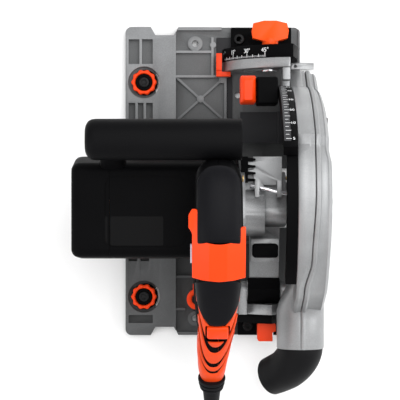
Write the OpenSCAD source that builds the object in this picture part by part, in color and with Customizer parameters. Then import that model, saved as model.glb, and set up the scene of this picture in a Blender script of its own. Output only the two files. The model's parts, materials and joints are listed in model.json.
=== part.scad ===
// Track plunge saw, lying at rest on its sole with the blade up.
// Origin: centre of the sole. +X is the blade side, +Y the cutting direction, +Z up. Millimetres.

/* [Base plate] */
// Width of the base plate, across the cut
base_w = 170; // [160:1:190]
// Length of the base plate, along the cut
base_l = 300; // [280:1:340]
// Thickness of the cast floor
floor_t = 4.5; // [3.5:0.5:6]
// Height of the raised rail platform
deck_h = 11.5; // [11:0.5:14]
// Width of the guide rail groove
groove_w = 18; // [14:1:22]
// Depth of the guide rail groove
groove_d = 6; // [4:0.5:6.5]
// Sideways place of the groove's centre
groove_x = -47; // [-50:1:-44]
// Sideways place of the rail knobs
knob_x = -67; // [-68:1:-66]
// Front rail knob, distance ahead of the centre
front_knob_y = 96; // [90:1:98]
// Rear rail knob, distance behind the centre
rear_knob_y = 112.5; // [106:0.5:114]
// Radius of the rail knobs
knob_r = 12.1; // [11:0.1:13]
// Radius of the two holes for an accessory
accessory_hole_r = 3.1; // [2.5:0.1:3.5]

/* [Blade] */
// Diameter of the blade
blade_d = 165; // [150:1:168]
// Thickness of the blade plate
blade_t = 1.6; // [1.2:0.1:2.4]
// Bore of the blade
blade_bore = 20; // [16:1:20]
// Sideways place of the blade's middle plane
blade_x = 88.5; // [88:0.5:92]
// Number of teeth
teeth = 48; // [24:2:60]

/* [Plunge] */
// Distance of the plunge pin behind the centre
pivot_back = 104; // [102:1:106]
// Height of the plunge pin
pivot_z = 56; // [55:1:60]
// Radius of the plunge pin
pin_r = 6; // [5:0.5:7]
// Distance of the spindle behind the centre, blade up
spindle_back = 18; // [16:1:20]
// Height of the spindle, blade up
spindle_z = 92; // [90:1:94]

/* [Drive] */
// Tooth module of the gears
gear_module = 1.25; // [1.2:0.05:1.3]
// Teeth of the pinion
pinion_teeth = 8; // [8:1:8]
// Teeth of the drive gear
gear_teeth = 34; // [32:1:34]
// Radius of the stator's bore
stator_bore_r = 19; // [18.5:0.5:21]
// Radius of the space inside the motor housing
motor_bore_r = 35; // [34:0.5:36]

/* [Bevel] */
// Outer radius of the bevel scale about the bevel axis
scale_r = 80; // [76:1:82]
// Radius of the clamp bolt's path about the bevel axis
bolt_path_r = 60; // [58:1:62]
// Angle of the clamp bolt above the base
bolt_angle = 55; // [54:1:58]
// Radius of the clamp bolt
bolt_r = 3; // [2.5:0.5:3.5]
// Largest bevel
bevel_max = 45; // [30:1:45]

/* [Handle] */
// Sideways place of the handle's split line
handle_x = 3.5; // [2:0.5:5]
// Half of the handle's width at the palm
palm_half_w = 20.5; // [18:0.5:21]
// Radius of the front grip bar
bar_r = 18; // [15:0.5:18]
// Height of the front grip bar's middle
bar_z = 190; // [188:1:196]

/* [Dust port] */
// Outer radius of the case's dust spigot
spigot_r = 18; // [16:0.5:18.5]
// Wall of the dust elbow
elbow_wall = 2.5; // [2:0.5:3]

/* [Cord] */
// Diameter of the cord
cord_d = 8; // [6:0.5:8]
// Diameter at the middle of the coil's turns
coil_d = 96; // [90:1:110]

/* [Fits] */
// Radial clearance of a shaft in a bore
run_gap = 0.05; // [0.02:0.01:0.1]
// Clearance between parts that slide past each other
slide_gap = 0.3; // [0.2:0.05:0.5]

/* [Hidden] */
$fn = 64;

pivot = [-pivot_back, pivot_z];
spindle_c = [-spindle_back, spindle_z];
gear_centres = gear_module * (gear_teeth + pinion_teeth) / 2;
pinion_angle = 117;
motor_c = spindle_c + gear_centres * [cos(pinion_angle), sin(pinion_angle)];

bolt_x = blade_x - bolt_path_r * cos(bolt_angle);
bolt_z = bolt_path_r * sin(bolt_angle);
arm_t = 9.4;
front_arm_y = 106;
front_quad_y = front_arm_y + arm_t + slide_gap;
front_quad_t = 12;
rear_arm_y = -126.4;
rear_quad_t = 8;
rear_quad_y = rear_arm_y - slide_gap - rear_quad_t;

cam_recess_r = knob_r + 3.4;
cam_recess_z = floor_t;
tip_stop_at = [-15.4, -115];
tip_stop_top_z = 15;
accessory_at = [-17.2, 134];
quadrant_screw_at = [[25.3, 137.5], [66, 141], [33.6, -140.5], [66, -140.5]];
foot_z = floor_t;
foot_top_z = 15;
brace_at = [-12.1, 80];
brace_l = 59;
screw_r = 3;

case_wall = 3;
case_x0 = 72;
case_x1 = 103;
case_split_x = blade_x;
case_floor_z = 16;
rim_r = 193;
crown_r = blade_d / 2 + 21;
spigot_c = [81, 80];
spigot_y = -157;

gear_case_x0 = 22;
cover_x0 = 46;
cover_x1 = 70.5;
gear_wall = 2.4;
gear_tip_r = gear_module * gear_teeth / 2 + 0.6;
cover_r = gear_tip_r + gear_wall + 1.2;
pinion_tip_r = gear_module * pinion_teeth / 2 + 1.3;

motor_x0 = -129;
cap_joint_x = -93;
motor_x1 = gear_case_x0;
bar_y = 34;
bar_x0 = -94;
bar_foot_x = 9;
shaft_r = 5;
bearing_r = 13;
small_bearing_r = 9;

// Cord route, chosen by hand: out of the guard, down to the top of the coil.
cord_upper_pts = [[-2, -214, 114], [-2, -222, 108], [-4, -232, 99], [-5, -240, 88], [-5, -245, 75]];
cord_lower_pts = [[-5, -245, 75], [-5, -250, 62], [-5, -256, 49], [-5, -264, 36], [-5, -274, 25],
    [-5, -289, 16], [-5, -306, 12]];
guard_tilt = 125;
guard_len = 50;
guard_seat = 5;
guard_stem_r = 7;
guard_exit = cord_upper_pts[0];
coil_turns_across = 4;
coil_layers = 2;
coil_out_r = coil_d / 2 + coil_turns_across * cord_d / 2;
coil_c = [-5 - coil_out_r + cord_d / 2, -306];
plug_y = coil_c[1] + coil_out_r - cord_d / 2 + 1;

// ---- helpers -------------------------------------------------------------

// 2D (y, z) drawing carried along X
module along_x(x0, x1) {
    translate([x0, 0, 0]) rotate([90, 0, 90]) linear_extrude(height = x1 - x0) children();
}

// 2D (x, z) drawing carried along Y
module along_y(y0, y1) {
    translate([0, y1, 0]) rotate([90, 0, 0]) linear_extrude(height = y1 - y0) children();
}

module along_z(z0, z1) {
    translate([0, 0, z0]) linear_extrude(height = z1 - z0) children();
}

module rod_x(x0, x1, c, r) {
    translate([x0, c[0], c[1]]) rotate([0, 90, 0]) cylinder(h = x1 - x0, r = r);
}

module rod_y(y0, y1, c, r) {
    translate([c[0], y0, c[1]]) rotate([-90, 0, 0]) cylinder(h = y1 - y0, r = r);
}

module rod_z(z0, z1, c, r) {
    translate([c[0], c[1], z0]) cylinder(h = z1 - z0, r = r);
}

module block(lo, hi) {
    translate(lo) cube(hi - lo);
}

module round_rect(lo, hi, r) {
    translate([lo[0] + r, lo[1]]) square([hi[0] - lo[0] - 2 * r, hi[1] - lo[1]]);
    translate([lo[0], lo[1] + r]) square([hi[0] - lo[0], hi[1] - lo[1] - 2 * r]);
    for (x = [lo[0] + r, hi[0] - r], y = [lo[1] + r, hi[1] - r]) translate([x, y]) circle(r = r);
}

// Part of a ring between two radii and two angles, at most half a turn
module ring_sector(r0, r1, a0, a1) {
    far = 2 * r1;
    middle = (a0 + a1) / 2;
    intersection() {
        difference() {
            circle(r = r1, $fn = 128);
            circle(r = r0, $fn = 128);
        }
        polygon([[0, 0], far * [cos(a0), sin(a0)], far * [cos(middle), sin(middle)],
            far * [cos(a1), sin(a1)]]);
    }
}

// Arc slot with round ends
module arc_slot(r, half_w, a0, a1) {
    ring_sector(r - half_w, r + half_w, a0, a1);
    for (a = [a0, a1]) translate(r * [cos(a), sin(a)]) circle(r = half_w);
}

// Draws in the plane of the tilt arms: origin on the bevel axis, angles up from the base
module about_bevel_axis() {
    translate([blade_x, 0]) mirror([1, 0]) children();
}

function arc(c, r, a0, a1, n) =
    [for (i = [0:n]) c + r * [cos(a0 + (a1 - a0) * i / n), sin(a0 + (a1 - a0) * i / n)]];

module hex_screw(head_r, head_h, r, length) {
    difference() {
        cylinder(h = head_h, r = head_r);
        translate([0, 0, head_h * 0.4]) cylinder(h = head_h, r = head_r * 0.55, $fn = 6);
    }
    translate([0, 0, -length]) cylinder(h = length + 0.01, r = r);
}

// ---- base ----------------------------------------------------------------

module base_outline() {
    notch_x0 = groove_x - groove_w / 2;
    notch_x1 = groove_x + groove_w / 2;
    difference() {
        round_rect([-base_w / 2, -base_l / 2], [base_w / 2, base_l / 2], 6);
        for (s = [0, 1]) mirror([0, s]) polygon([[notch_x0, base_l / 2 - 8], [notch_x1, base_l / 2 - 8],
            [notch_x1 + 5, base_l / 2 + 1], [notch_x0 - 5, base_l / 2 + 1]]);
    }
}

// The opening at the right edge that the gear nose and spindle sink into
module blade_window_outline() {
    translate([cover_x0 - 2.5, -spindle_back - cover_r - 2])
        square([base_w, 2 * cover_r + 7]);
}

deck_pockets = [[[-82, 114], [-71.5, 138]], [[-69, 114], [-58.5, 138]], [[-82, 24], [-75.5, 76]],
    [[-73, 24], [-67.5, 76]], [[-65, 24], [-58.5, 76]], [[-82, -78], [-73.5, 14]],
    [[-70.5, -78], [-62, 14]], [[-82, -138], [-58.5, -130.5]]];
rib_h = 10;
ribs_along_x = [[-36, -1, 125.9], [-36, 14.8, 102], [-36, 24, -93.3], [-36, -27, -124.8], [-36, 40, -60]];
ribs_along_y = [[-0.4, 102, 140], [12.2, 58, 101], [-20, -60, -20], [10, -60, -20], [24, -147, -126]];

module base_plate() {
    color([0.6, 0.61, 0.62]) difference() {
        union() {
            along_z(0, floor_t) base_outline();
            intersection() {
                along_z(0, deck_h) base_outline();
                block([-base_w / 2, -base_l / 2, 0], [-36, base_l / 2, deck_h]);
            }
            difference() {
                along_z(0, 9) base_outline();
                block([-36, -base_l / 2 + 3, floor_t], [base_w / 2 - 3, base_l / 2 - 3, 10]);
                block([base_w / 2 - 4, rear_quad_y - 20, floor_t], [base_w, 129, 10]);
            }
            for (r = ribs_along_x) block([r[0], r[2] - 1.2, floor_t - 0.1], [r[1], r[2] + 1.2, rib_h]);
            for (r = ribs_along_y) block([r[0] - 1.2, r[1], floor_t - 0.1], [r[0] + 1.2, r[2], rib_h]);
            for (s = [-1, 1]) translate([brace_at[0], brace_at[1], floor_t - 0.1]) rotate([0, 0, s * 42])
                translate([-31, -1.1, 0]) cube([brace_l, 2.2, 4]);
            rod_z(floor_t - 0.1, 9.5, brace_at, 3.5);
            for (s = [-1, 1]) rod_z(floor_t - 0.1, 8.5, [accessory_at[0], s * accessory_at[1]], 7.2);
            rod_z(floor_t - 0.1, rib_h, [0.2, 132.7], 3);
            rod_z(floor_t - 0.1, 8, tip_stop_at, 9);
            block([6, 95.5, floor_t - 0.1], [12.5, 102, rib_h]);
        }
        block([groove_x - groove_w / 2, -base_l, -1], [groove_x + groove_w / 2, base_l, groove_d]);
        for (y = [front_knob_y, -rear_knob_y]) {
            rod_z(cam_recess_z, deck_h + 1, [knob_x, y], cam_recess_r);
            rod_z(-1, deck_h, [knob_x, y], screw_r);
        }
        for (p = deck_pockets) block([p[0][0], p[0][1], 4], [p[1][0], p[1][1], deck_h + 1]);
        for (s = [-1, 1]) rod_z(-1, deck_h, [accessory_at[0], s * accessory_at[1]], accessory_hole_r);
        rod_z(-1, deck_h, tip_stop_at, screw_r);
        rod_z(-1, deck_h, [24.6, 84], 3);
        for (p = quadrant_screw_at) rod_z(-1, floor_t + 1, p, screw_r);
        block([13.5, 60, -1], [18.5, 92, floor_t + 1]);
        along_z(-1, deck_h + 1) blade_window_outline();
        block([8.5, front_quad_y - 0.3, floor_t], [83.5, base_l, 12]);
        block([8.5, -base_l, floor_t], [83.5, rear_arm_y + arm_t + 1, 12]);
    }
}

// A quadrant stands on the base; reach is how far up the arc its full radius goes
module quadrant(y0, y1, foot_lo, foot_hi, reach, top_r) {
    difference() {
        union() {
            along_y(y0, y1) {
                about_bevel_axis() ring_sector(44, scale_r, 12, reach);
                about_bevel_axis() ring_sector(44, top_r, reach - 1, 80);
                polygon([[bar_foot_x, foot_z], [bar_foot_x + 15, foot_z], [bar_foot_x + 29, 24],
                    [bar_foot_x + 2, 22]]);
                intersection() {
                    polygon([[66, foot_z], [82, foot_z], [82, 20], [80, 49], [74, 78.2], [66, 60]]);
                    about_bevel_axis() circle(r = top_r);
                }
            }
            block([foot_lo[0], foot_lo[1], foot_z], [foot_hi[0], foot_hi[1], foot_hi[2]]);
        }
        rod_y(y0 - 1, y1 + 1, [bolt_x, bolt_z], bolt_r + run_gap);
        for (p = quadrant_screw_at) rod_z(0, 40, p, screw_r + run_gap);
    }
}
module front_quadrant() {
    color([0.07, 0.07, 0.08])
        quadrant(front_quad_y, front_quad_y + front_quad_t, [17.6, front_quad_y + 6], [76, 149, foot_top_z], 79, scale_r);
}

module rear_quadrant() {
    color([0.07, 0.07, 0.08])
        quadrant(rear_quad_y, rear_quad_y + rear_quad_t, [24.4, -149.6], [76, rear_quad_y + 4, foot_top_z], 65, 49);
}

module base_screws() {
    color([0.25, 0.25, 0.26]) {
        for (p = quadrant_screw_at) translate([p[0], p[1], foot_top_z]) hex_screw(4.8, 4, screw_r, 13);
        for (y = [front_knob_y, -rear_knob_y]) translate([knob_x, y, knob_top_z - 3.9])
            hex_screw(4.9, 3, screw_r, knob_top_z - 5);
        translate([tip_stop_at[0], tip_stop_at[1], tip_stop_top_z - 0.9]) hex_screw(4.9, 3, screw_r, 13.5);
    }
}

// Bolts that stand in the quadrants and pass through the arms' arc slots
module bevel_bolts() {
    head = 2.4;
    color([0.75, 0.75, 0.77]) {
        rod_y(front_arm_y - slide_gap - head, front_arm_y - slide_gap, [bolt_x, bolt_z], 8);
        rod_y(front_arm_y - slide_gap - 0.01, front_quad_y + front_quad_t + 19, [bolt_x, bolt_z], bolt_r);
        rod_y(rear_arm_y + arm_t + slide_gap, rear_arm_y + arm_t + slide_gap + head, [bolt_x, bolt_z], 8);
        rod_y(rear_quad_y - 15, rear_arm_y + arm_t + slide_gap + 0.01, [bolt_x, bolt_z], bolt_r);
    }
}

module front_bevel_knob() {
    y = front_quad_y + front_quad_t + slide_gap;
    color([1, 0.36, 0.13]) difference() {
        union() {
            rod_y(y, y + 7, [bolt_x, bolt_z], 7.6);
            along_z(bolt_z - 6.5, bolt_z + 6.5) polygon([[bolt_x - 16.5, y + 7], [bolt_x - 6, y + 4],
                [bolt_x + 6, y + 4], [bolt_x + 16.5, y + 7], [bolt_x + 17.5, y + 14],
                [bolt_x + 16, y + 21], [bolt_x + 6, y + 23.5], [bolt_x - 6, y + 23.5],
                [bolt_x - 16, y + 21], [bolt_x - 17.5, y + 14]]);
        }
        rod_y(y - 1, y + 20, [bolt_x, bolt_z], bolt_r + run_gap);
    }
}

module rear_bevel_knob() {
    y = rear_quad_y - slide_gap;
    color([1, 0.36, 0.13]) difference() {
        union() {
            rod_y(y - 8, y, [bolt_x, bolt_z], 7);
            along_z(bolt_z - 7, bolt_z + 7) polygon([[bolt_x - 13.5, y - 17.5], [bolt_x + 1, y - 17.5],
                [bolt_x + 5, y - 12], [bolt_x + 5, y - 5], [bolt_x - 4, y - 2], [bolt_x - 13, y - 4]]);
        }
        rod_y(y - 16, y + 1, [bolt_x, bolt_z], bolt_r + run_gap);
    }
}

knob_top_z = deck_h + 3.5;
module rail_knob(y) {
    lobes = 10;
    translate([knob_x, y, 0]) along_z(cam_recess_z + 3.5, knob_top_z) difference() {
        union() {
            circle(r = knob_r - 1.2);
            for (i = [0:lobes - 1]) rotate(i * 360 / lobes) translate([knob_r - 2.6, 0]) circle(r = 2.6, $fn = 32);
        }
        circle(r = 8.1);
    }
}

// The round cam under each rail knob, set off its screw so that it presses on the rail
module rail_cam(y) {
    difference() {
        union() {
            rod_z(cam_recess_z + slide_gap, cam_recess_z + 3.4, [knob_x + 1, y], 12.4);
            rod_z(cam_recess_z + 3.4, knob_top_z - 1.2, [knob_x, y], 8.05);
        }
        rod_z(0, knob_top_z, [knob_x, y], screw_r + run_gap);
        rod_z(knob_top_z - 4, knob_top_z, [knob_x, y], 5.2);
    }
}

module front_rail_knob() { color([1, 0.36, 0.13]) rail_knob(front_knob_y); }
module rear_rail_knob() { color([1, 0.36, 0.13]) rail_knob(-rear_knob_y); }
module front_rail_cam() { color([0.08, 0.08, 0.09]) rail_cam(front_knob_y); }
module rear_rail_cam() { color([0.08, 0.08, 0.09]) rail_cam(-rear_knob_y); }

module tip_stop_knob() {
    color([1, 0.36, 0.13]) difference() {
        union() {
            rod_z(8.2, tip_stop_top_z, tip_stop_at, 10);
            translate([tip_stop_at[0] - 4, tip_stop_at[1], 8.2]) cube([8, 15, 3.5]);
        }
        rod_z(0, 20, tip_stop_at, screw_r + run_gap);
        rod_z(tip_stop_top_z - 1, 20, tip_stop_at, 5.2);
    }
}

module cut_pointer() {
    color([0.8, 0.8, 0.82]) difference() {
        block([76.5, 109, floor_t], [98.6, 115.2, 7]);
        rod_z(0, 10, [80.5, 112.1], 1.5);
    }
}

// ---- tilt unit: blade case and arms --------------------------------------

function case_points() = concat(
    arc([88, case_floor_z + 18], 18, -90, 0, 5),
    arc(pivot, rim_r, 3, 42, 10),
    arc(spindle_c, crown_r, 62, 150, 12),
    [[-132, 100], [-132, 60], [-118, 42], [-96, 40], [-62, case_floor_z]]);

module case_outline() { polygon(case_points()); }

module case_inside() {
    intersection() {
        offset(delta = -case_wall) polygon(case_points());
        translate([-128, -50]) square([300, 300]);
    }
    translate([-pivot_back + 3, -10]) square([185, 60]);
}

// Where the spindle and its bearing nose travel through the inner wall
module spindle_sweep() {
    a0 = -20;
    a1 = atan2(spindle_z - pivot_z, pivot_back - spindle_back);
    translate(pivot) arc_slot(norm(spindle_c - pivot), 17.5, a0, a1);
}

case_screw_at = [[60, 158], [88, 60], [-70, 168], [-118, 92], [-20, 189]];

module blade_case() {
    color([0.74, 0.75, 0.76]) difference() {
        union() {
            difference() {
                along_x(case_x0, case_split_x) case_outline();
                along_x(case_x0 + case_wall, case_split_x + 1) intersection() {
                    case_outline();
                    case_inside();
                }
            }
            rod_y(spigot_y, -128, spigot_c, spigot_r);
            intersection() {
                rod_y(-150, -130, spigot_c, spigot_r + 2.6);
                block([case_x0 - 14, -140, 50], [case_x1, -132, 110]);
            }
            for (p = case_screw_at) rod_x(case_x0 + 1, case_split_x, case_screw_inset(p), 4);
        }
        rod_y(spigot_y - 1, -120, spigot_c, spigot_r - 2.2);
        along_x(case_x0 - 1, case_x0 + case_wall + 1) spindle_sweep();
        rod_x(case_x0 - 1, case_x0 + case_wall + 1, pivot, pin_r);
        for (p = case_screw_at) rod_x(case_x0 + 4, case_split_x + 1, case_screw_inset(p), 1.8);
    }
}
function case_screw_inset(p) = p + 5.5 * (([-18, 92] - p) / norm([-18, 92] - p));

module case_cover() {
    color([0.76, 0.77, 0.78]) difference() {
        union() {
            difference() {
                along_x(case_split_x, case_x1) case_outline();
                along_x(case_split_x - 1, case_x1 - case_wall) intersection() {
                    case_outline();
                    case_inside();
                }
            }
            for (p = case_screw_at) rod_x(case_split_x, case_x1 - 1, case_screw_inset(p), 4);
        }
        for (p = case_screw_at) rod_x(case_split_x - 1, case_x1 + 1, case_screw_inset(p), 2.02);
        for (p = case_screw_at) rod_x(case_x1 - 2, case_x1 + 1, case_screw_inset(p), 3.6);
        rod_y(-134, -126, spigot_c, spigot_r + 0.02);
    }
}

module case_screws() {
    color([0.7, 0.7, 0.72]) for (p = case_screw_at) translate([case_x1 - 2, case_screw_inset(p)[0],
        case_screw_inset(p)[1]]) rotate([0, 90, 0]) {
        hex_screw(3.4, 1.8, 1.75, 24);
    }
}

module tilt_arm(y0, reach, top_r) {
    slot_a1 = bolt_angle + 0.5;
    along_y(y0, y0 + arm_t) difference() {
        intersection() {
            union() {
                about_bevel_axis() ring_sector(50, scale_r - 0.4, 6, reach);
                about_bevel_axis() ring_sector(50, top_r, reach - 1, 82);
            }
            square([case_x0, 200]);
        }
        translate([0, -1]) square([90, 7.2]);
        about_bevel_axis() arc_slot(bolt_path_r, bolt_r + slide_gap, slot_a1 - bevel_max - 1, slot_a1);
    }
}

module front_tilt_arm() {
    color([0.75, 0.76, 0.77]) {
        tilt_arm(front_arm_y, 76, scale_r - 0.4);
        block([65, 80, 40], [case_x0, front_arm_y + arm_t, 66]);
        block([65, front_arm_y - 12, 60], [case_x0, front_arm_y + arm_t, 76]);
    }
}

module rear_tilt_arm() {
    color([0.72, 0.73, 0.74]) difference() {
        union() {
            tilt_arm(rear_arm_y, 65, 58);
            for (x = [[24, 31.5], [63.5, case_x0]]) {
                block([x[0], rear_arm_y + arm_t - 1, pivot_z - 9], [x[1], pivot[0], pivot_z + 9]);
                rod_x(x[0], x[1], pivot, 9);
                block([x[0], rear_arm_y, 34], [x[1], rear_arm_y + arm_t, pivot_z + 9]);
            }
        }
        rod_x(0, 100, pivot, pin_r);
        rod_y(-200, rear_arm_y + 0.01, spigot_c, 24);
    }
}

depth_r0 = rim_r - 11;
module depth_scale() {
    color([0.09, 0.09, 0.1]) along_x(60, case_x0) translate(pivot) ring_sector(depth_r0, rim_r, 4, 47);
}

module plunge_pin() {
    color([0.8, 0.8, 0.82]) difference() {
        rod_x(8, case_x0 + case_wall, pivot, pin_r - 0.01);
        rod_x(7, 12, pivot, 2.5);
    }
}

// Torsion spring wound round the plunge pin, drawn as its stack of turns
module plunge_spring() {
    turns = 5;
    wire_r = 1.25;
    color([0.55, 0.56, 0.58]) for (i = [0:turns - 1]) translate([10.6 + i * 2.6, pivot[0], pivot[1]])
        rotate([0, 90, 0]) rotate_extrude($fn = 64) translate([pin_r + wire_r + 0.1, 0])
            circle(r = wire_r, $fn = 24);
}

module bevel_stop_lever() {
    color([1, 0.34, 0.12]) difference() {
        union() {
            block([3.2, front_arm_y + 1, 14], [8.6, front_arm_y + 17, 27]);
            block([3.2, front_arm_y - 5, 14], [17, front_arm_y - 0.4, 22]);
            block([3.2, front_arm_y - 5, 14], [8.6, front_arm_y + 2, 24]);
        }
        rod_y(front_arm_y - 6, front_arm_y + 20, [5.9, 18], 1.2);
    }
}

module depth_stop_block() {
    color([0.08, 0.08, 0.09]) along_x(42, 60 - slide_gap) translate(pivot)
        ring_sector(depth_r0 - 8, rim_r - 1, 4, 12);
    color([0.08, 0.08, 0.09]) along_x(59, 71) translate(pivot)
        ring_sector(depth_r0 - 8, depth_r0 - slide_gap, 4, 12);
}

module depth_stop_lever() {
    color([1, 0.36, 0.13]) along_x(26.5, 42 - 0.1) translate(pivot)
        ring_sector(depth_r0 - 10, rim_r - 2, 3.4, 12);
}

module chip_apron() {
    color([0.16, 0.16, 0.18]) {
        block([26, 36, 30], [case_x0, 66, 34]);
        block([62, 36, 20], [case_x0, 66, 44]);
    }
}

module dust_elbow() {
    outer = spigot_r + elbow_wall + run_gap;
    r_in = spigot_r - 2.5;
    color([0.07, 0.07, 0.08]) difference() {
        union() {
            rod_y(-163, -140.5, spigot_c, outer);
            hull() {
                rod_y(-164, -162, spigot_c, outer);
                translate([74, -178, 70]) sphere(r = 19, $fn = 32);
            }
            translate([74, -178, 70]) rotate([0, -127, 24]) cylinder(h = 30, r = 18.5);
            translate([74, -178, 70]) sphere(r = 18.5);
        }
        rod_y(-158, -100, spigot_c, spigot_r + run_gap);
        translate([74, -178, 70]) rotate([0, -127, 24]) cylinder(h = 31, r = 15.5);
        translate([74, -178, 70]) sphere(r = 15.5);
        hull() {
            rod_y(-160, -157, spigot_c, 15.5);
            translate([74, -178, 70]) sphere(r = 15, $fn = 32);
        }
    }
}

// ---- saw unit: gears, motor, handles --------------------------------------

module cover_outline(grow) {
    hull() {
        translate(spindle_c) circle(r = cover_r + grow);
        translate(motor_c) circle(r = pinion_tip_r + 5 + grow);
    }
}

rod_dir = [45, -8.8, 0] / norm([45, -8.8, 0]);
rod_start = [33, -6, 127];
module latch_rod_shape(r, from, length) {
    translate(rod_start + from * rod_dir) rotate([0, 90, atan2(rod_dir[1], rod_dir[0])])
        cylinder(h = length, r = r, $fn = 32);
}

lock_at = [46.8, -64.5];
lug_r = pin_r + 3.5;
module gear_case() {
    color([0.72, 0.73, 0.75]) difference() {
        union() {
            rod_x(gear_case_x0, gear_case_x0 + 6, motor_c, 37.5);
            rod_x(gear_case_x0 + 5, cover_x0, motor_c, 21);
            along_x(gear_case_x0 + 10, cover_x0) hull() {
                translate(motor_c) circle(r = 19);
                translate(spindle_c) circle(r = 14);
            }
            difference() {
                along_x(34, 61) hull() {
                    translate(spindle_c) circle(r = 13);
                    translate(pivot) circle(r = lug_r);
                }
                along_x(cover_x0, 62) cover_outline(0.02);
            }
            rod_x(31.8, 63.2, pivot, lug_r);
            block([34, -75, 78], [60, -54, 107]);
            block([36, -20, 112], [45, 21, 118.5]);
            block([44, -5, 116], [62, 21, 118.5]);
            block([37, -16, 114], [41, -1, 133]);
            block([57, -5, 116], [61, -1, 133]);
            block([57, -16, 121], [61, -1, 133]);
            block([30, 12, 110], [37, 16, 121]);
            block([30, 5, 110], [37, 9, 121]);
            block([28, -20, 104], [37, 16, 112]);
        }
        rod_x(gear_case_x0 - 1, cover_x0 + 1, motor_c, 8);
        rod_x(33, 42, motor_c, bearing_r);
        rod_x(38, cover_x0 + 1, spindle_c, small_bearing_r);
        rod_x(gear_case_x0 - 1, 30, motor_c, bearing_r);
        rod_x(25, 70, pivot, pin_r + run_gap);
        rod_z(90, 120, lock_at, 4 + run_gap);
        latch_rod_shape(2 + run_gap, -8, 60);
        for (p = cover_screw_at) rod_x(36, cover_x0 + 1, p, 1.8);
    }
}

cover_screw_at = [spindle_c + [cover_r - 3.2, -6], spindle_c + [-12, -22], motor_c + [-3, 10.5]];
module gear_cover() {
    color([0.75, 0.76, 0.78]) difference() {
        union() {
            along_x(cover_x0, 66) cover_outline(0);
            rod_x(65, cover_x1, spindle_c, bearing_r + 3);
        }
        rod_x(cover_x0 - 1, 62.5, spindle_c, gear_tip_r + 0.6);
        rod_x(cover_x0 - 1, 62.5, motor_c, pinion_tip_r + 0.8);
        rod_x(63.5, cover_x1 + 1, spindle_c, bearing_r);
        rod_x(50, cover_x1 + 1, spindle_c, 10);
    }
}

module housing_screws() {
    color([0.72, 0.6, 0.35]) {
        for (a = [25, 155]) translate([66.05, spindle_c[0] + 21.5 * cos(a), spindle_c[1] + 21.5 * sin(a)])
            rotate([0, 90, 0]) cylinder(h = 2.5, r = 1.8);
        for (p = [[24, 0, 195], [23.5, -95, 118]]) translate(p) rotate([0, 90, 0]) cylinder(h = 1.2, r = 2.8);
    }
}

module motor_outline() {
    translate(motor_c) hull() {
        circle(r = 37);
        for (p = [[-31, 34], [35, 34], [-33, -2], [38, 0]]) translate(p) circle(r = 9, $fn = 32);
    }
}

module motor_housing() {
    color([0.07, 0.07, 0.08]) difference() {
        along_x(cap_joint_x, motor_x1) motor_outline();
        rod_x(cap_joint_x - 1, motor_x1 + 1, motor_c, motor_bore_r);
    }
}

module motor_end_cap() {
    color([0.06, 0.06, 0.07]) difference() {
        along_x(motor_x0, cap_joint_x) motor_outline();
        rod_x(-125, cap_joint_x + 1, motor_c, motor_bore_r);
        for (i = [-4:4]) block([motor_x0 - 1, motor_c[0] + i * 6 - 1.3, motor_c[1] - 24],
            [-124, motor_c[0] + i * 6 + 1.3, motor_c[1] + 24]);
    }
    color([0.06, 0.06, 0.07]) difference() {
        rod_x(-125.5, -112, motor_c, small_bearing_r + 2.5);
        rod_x(-119, -111, motor_c, small_bearing_r);
    }
}

module front_grip() {
    color([0.07, 0.07, 0.08]) difference() {
        union() {
            rod_x(bar_x0, 24, [bar_y, bar_z], bar_r);
            translate([bar_x0, bar_y, bar_z]) sphere(r = bar_r);
            for (x = [[bar_x0 - 6, bar_x0 + 12], [0, 14]]) along_x(x[0], x[1])
                polygon([[10, 150], [15.9, 132], [bar_y, 176], [bar_y + 12, 190], [bar_y - 14, 200], [2, 160]]);
        }
        along_x(-130, 30) motor_outline();
        along_x(-30, 24) translate([0.01, 0]) handle_profile();
    }
}

function handle_points() = [[14, 159], [17, 185], [14, 214], [5, 233], [-20, 240], [-54, 238], [-88, 224],
    [-127, 197], [-158, 168], [-180, 147], [-181, 137], [-176, 129], [-160, 124], [-110, 106],
    [-70, 98], [-70, 132], [-100, 137], [-124, 146], [-131, 157], [-124, 171], [-92, 192],
    [-58, 206], [-42, 206], [-34, 199], [-33, 175], [-35, 159]];
module handle_profile() { polygon(handle_points()); }

module plan_outline(grow) {
    x0 = handle_x;
    polygon([[x0 - palm_half_w - grow, 20], [x0 - palm_half_w - grow, -54], [-15.5 - grow, -88],
        [-13 - grow, -127], [-12.5 - grow, -160], [-11 - grow, -182 - grow], [7 + grow, -182 - grow],
        [12 + grow, -160], [18 + grow, -127], [21.5 + grow, -88], [x0 + palm_half_w + grow, -54],
        [x0 + palm_half_w + grow, 20]]);
}

module handle_form() {
    intersection() {
        along_x(-30, 40) handle_profile();
        along_z(80, 260) plan_outline(0);
    }
}

// Wider lower leg that joins the tail to the motor
module handle_leg() {
    along_x(handle_x - 22.5, handle_x + 20) polygon([[-150, 127], [-110, 106], [-70, 98],
        [-70, 132], [-100, 137], [-124, 146], [-140, 146]]);
}

module handle_solid() {
    difference() {
        union() {
            handle_form();
            handle_leg();
        }
        intersection() {
            along_x(handle_x - 13, handle_x + 13) offset(delta = -4) handle_profile();
            block([-40, -150, 150], [40, 40, 260]);
        }
        along_x(-130, motor_x1 + 6.1) motor_outline();
        rod_x(0, 40, motor_c, 37.6);
        block([-4.3, -53.4, 198], [11.3, -36.4, 216]);
        button_place() translate([-9.9, -7.4, -16]) cube([19.8, 14.8, 30]);
        guard_place() translate([0, 0, -14]) cylinder(h = 40, r = guard_stem_r + 0.02);
        guard_place() translate([0, 0, guard_seat]) cylinder(h = 40, r = 20);
    }
}
// Frame of the cord guard: local z runs out along the cord, and ends where the cord comes free
module guard_place() {
    translate(guard_exit) rotate([guard_tilt, 0, 0]) translate([0, 0, -guard_len]) children();
}

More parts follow.
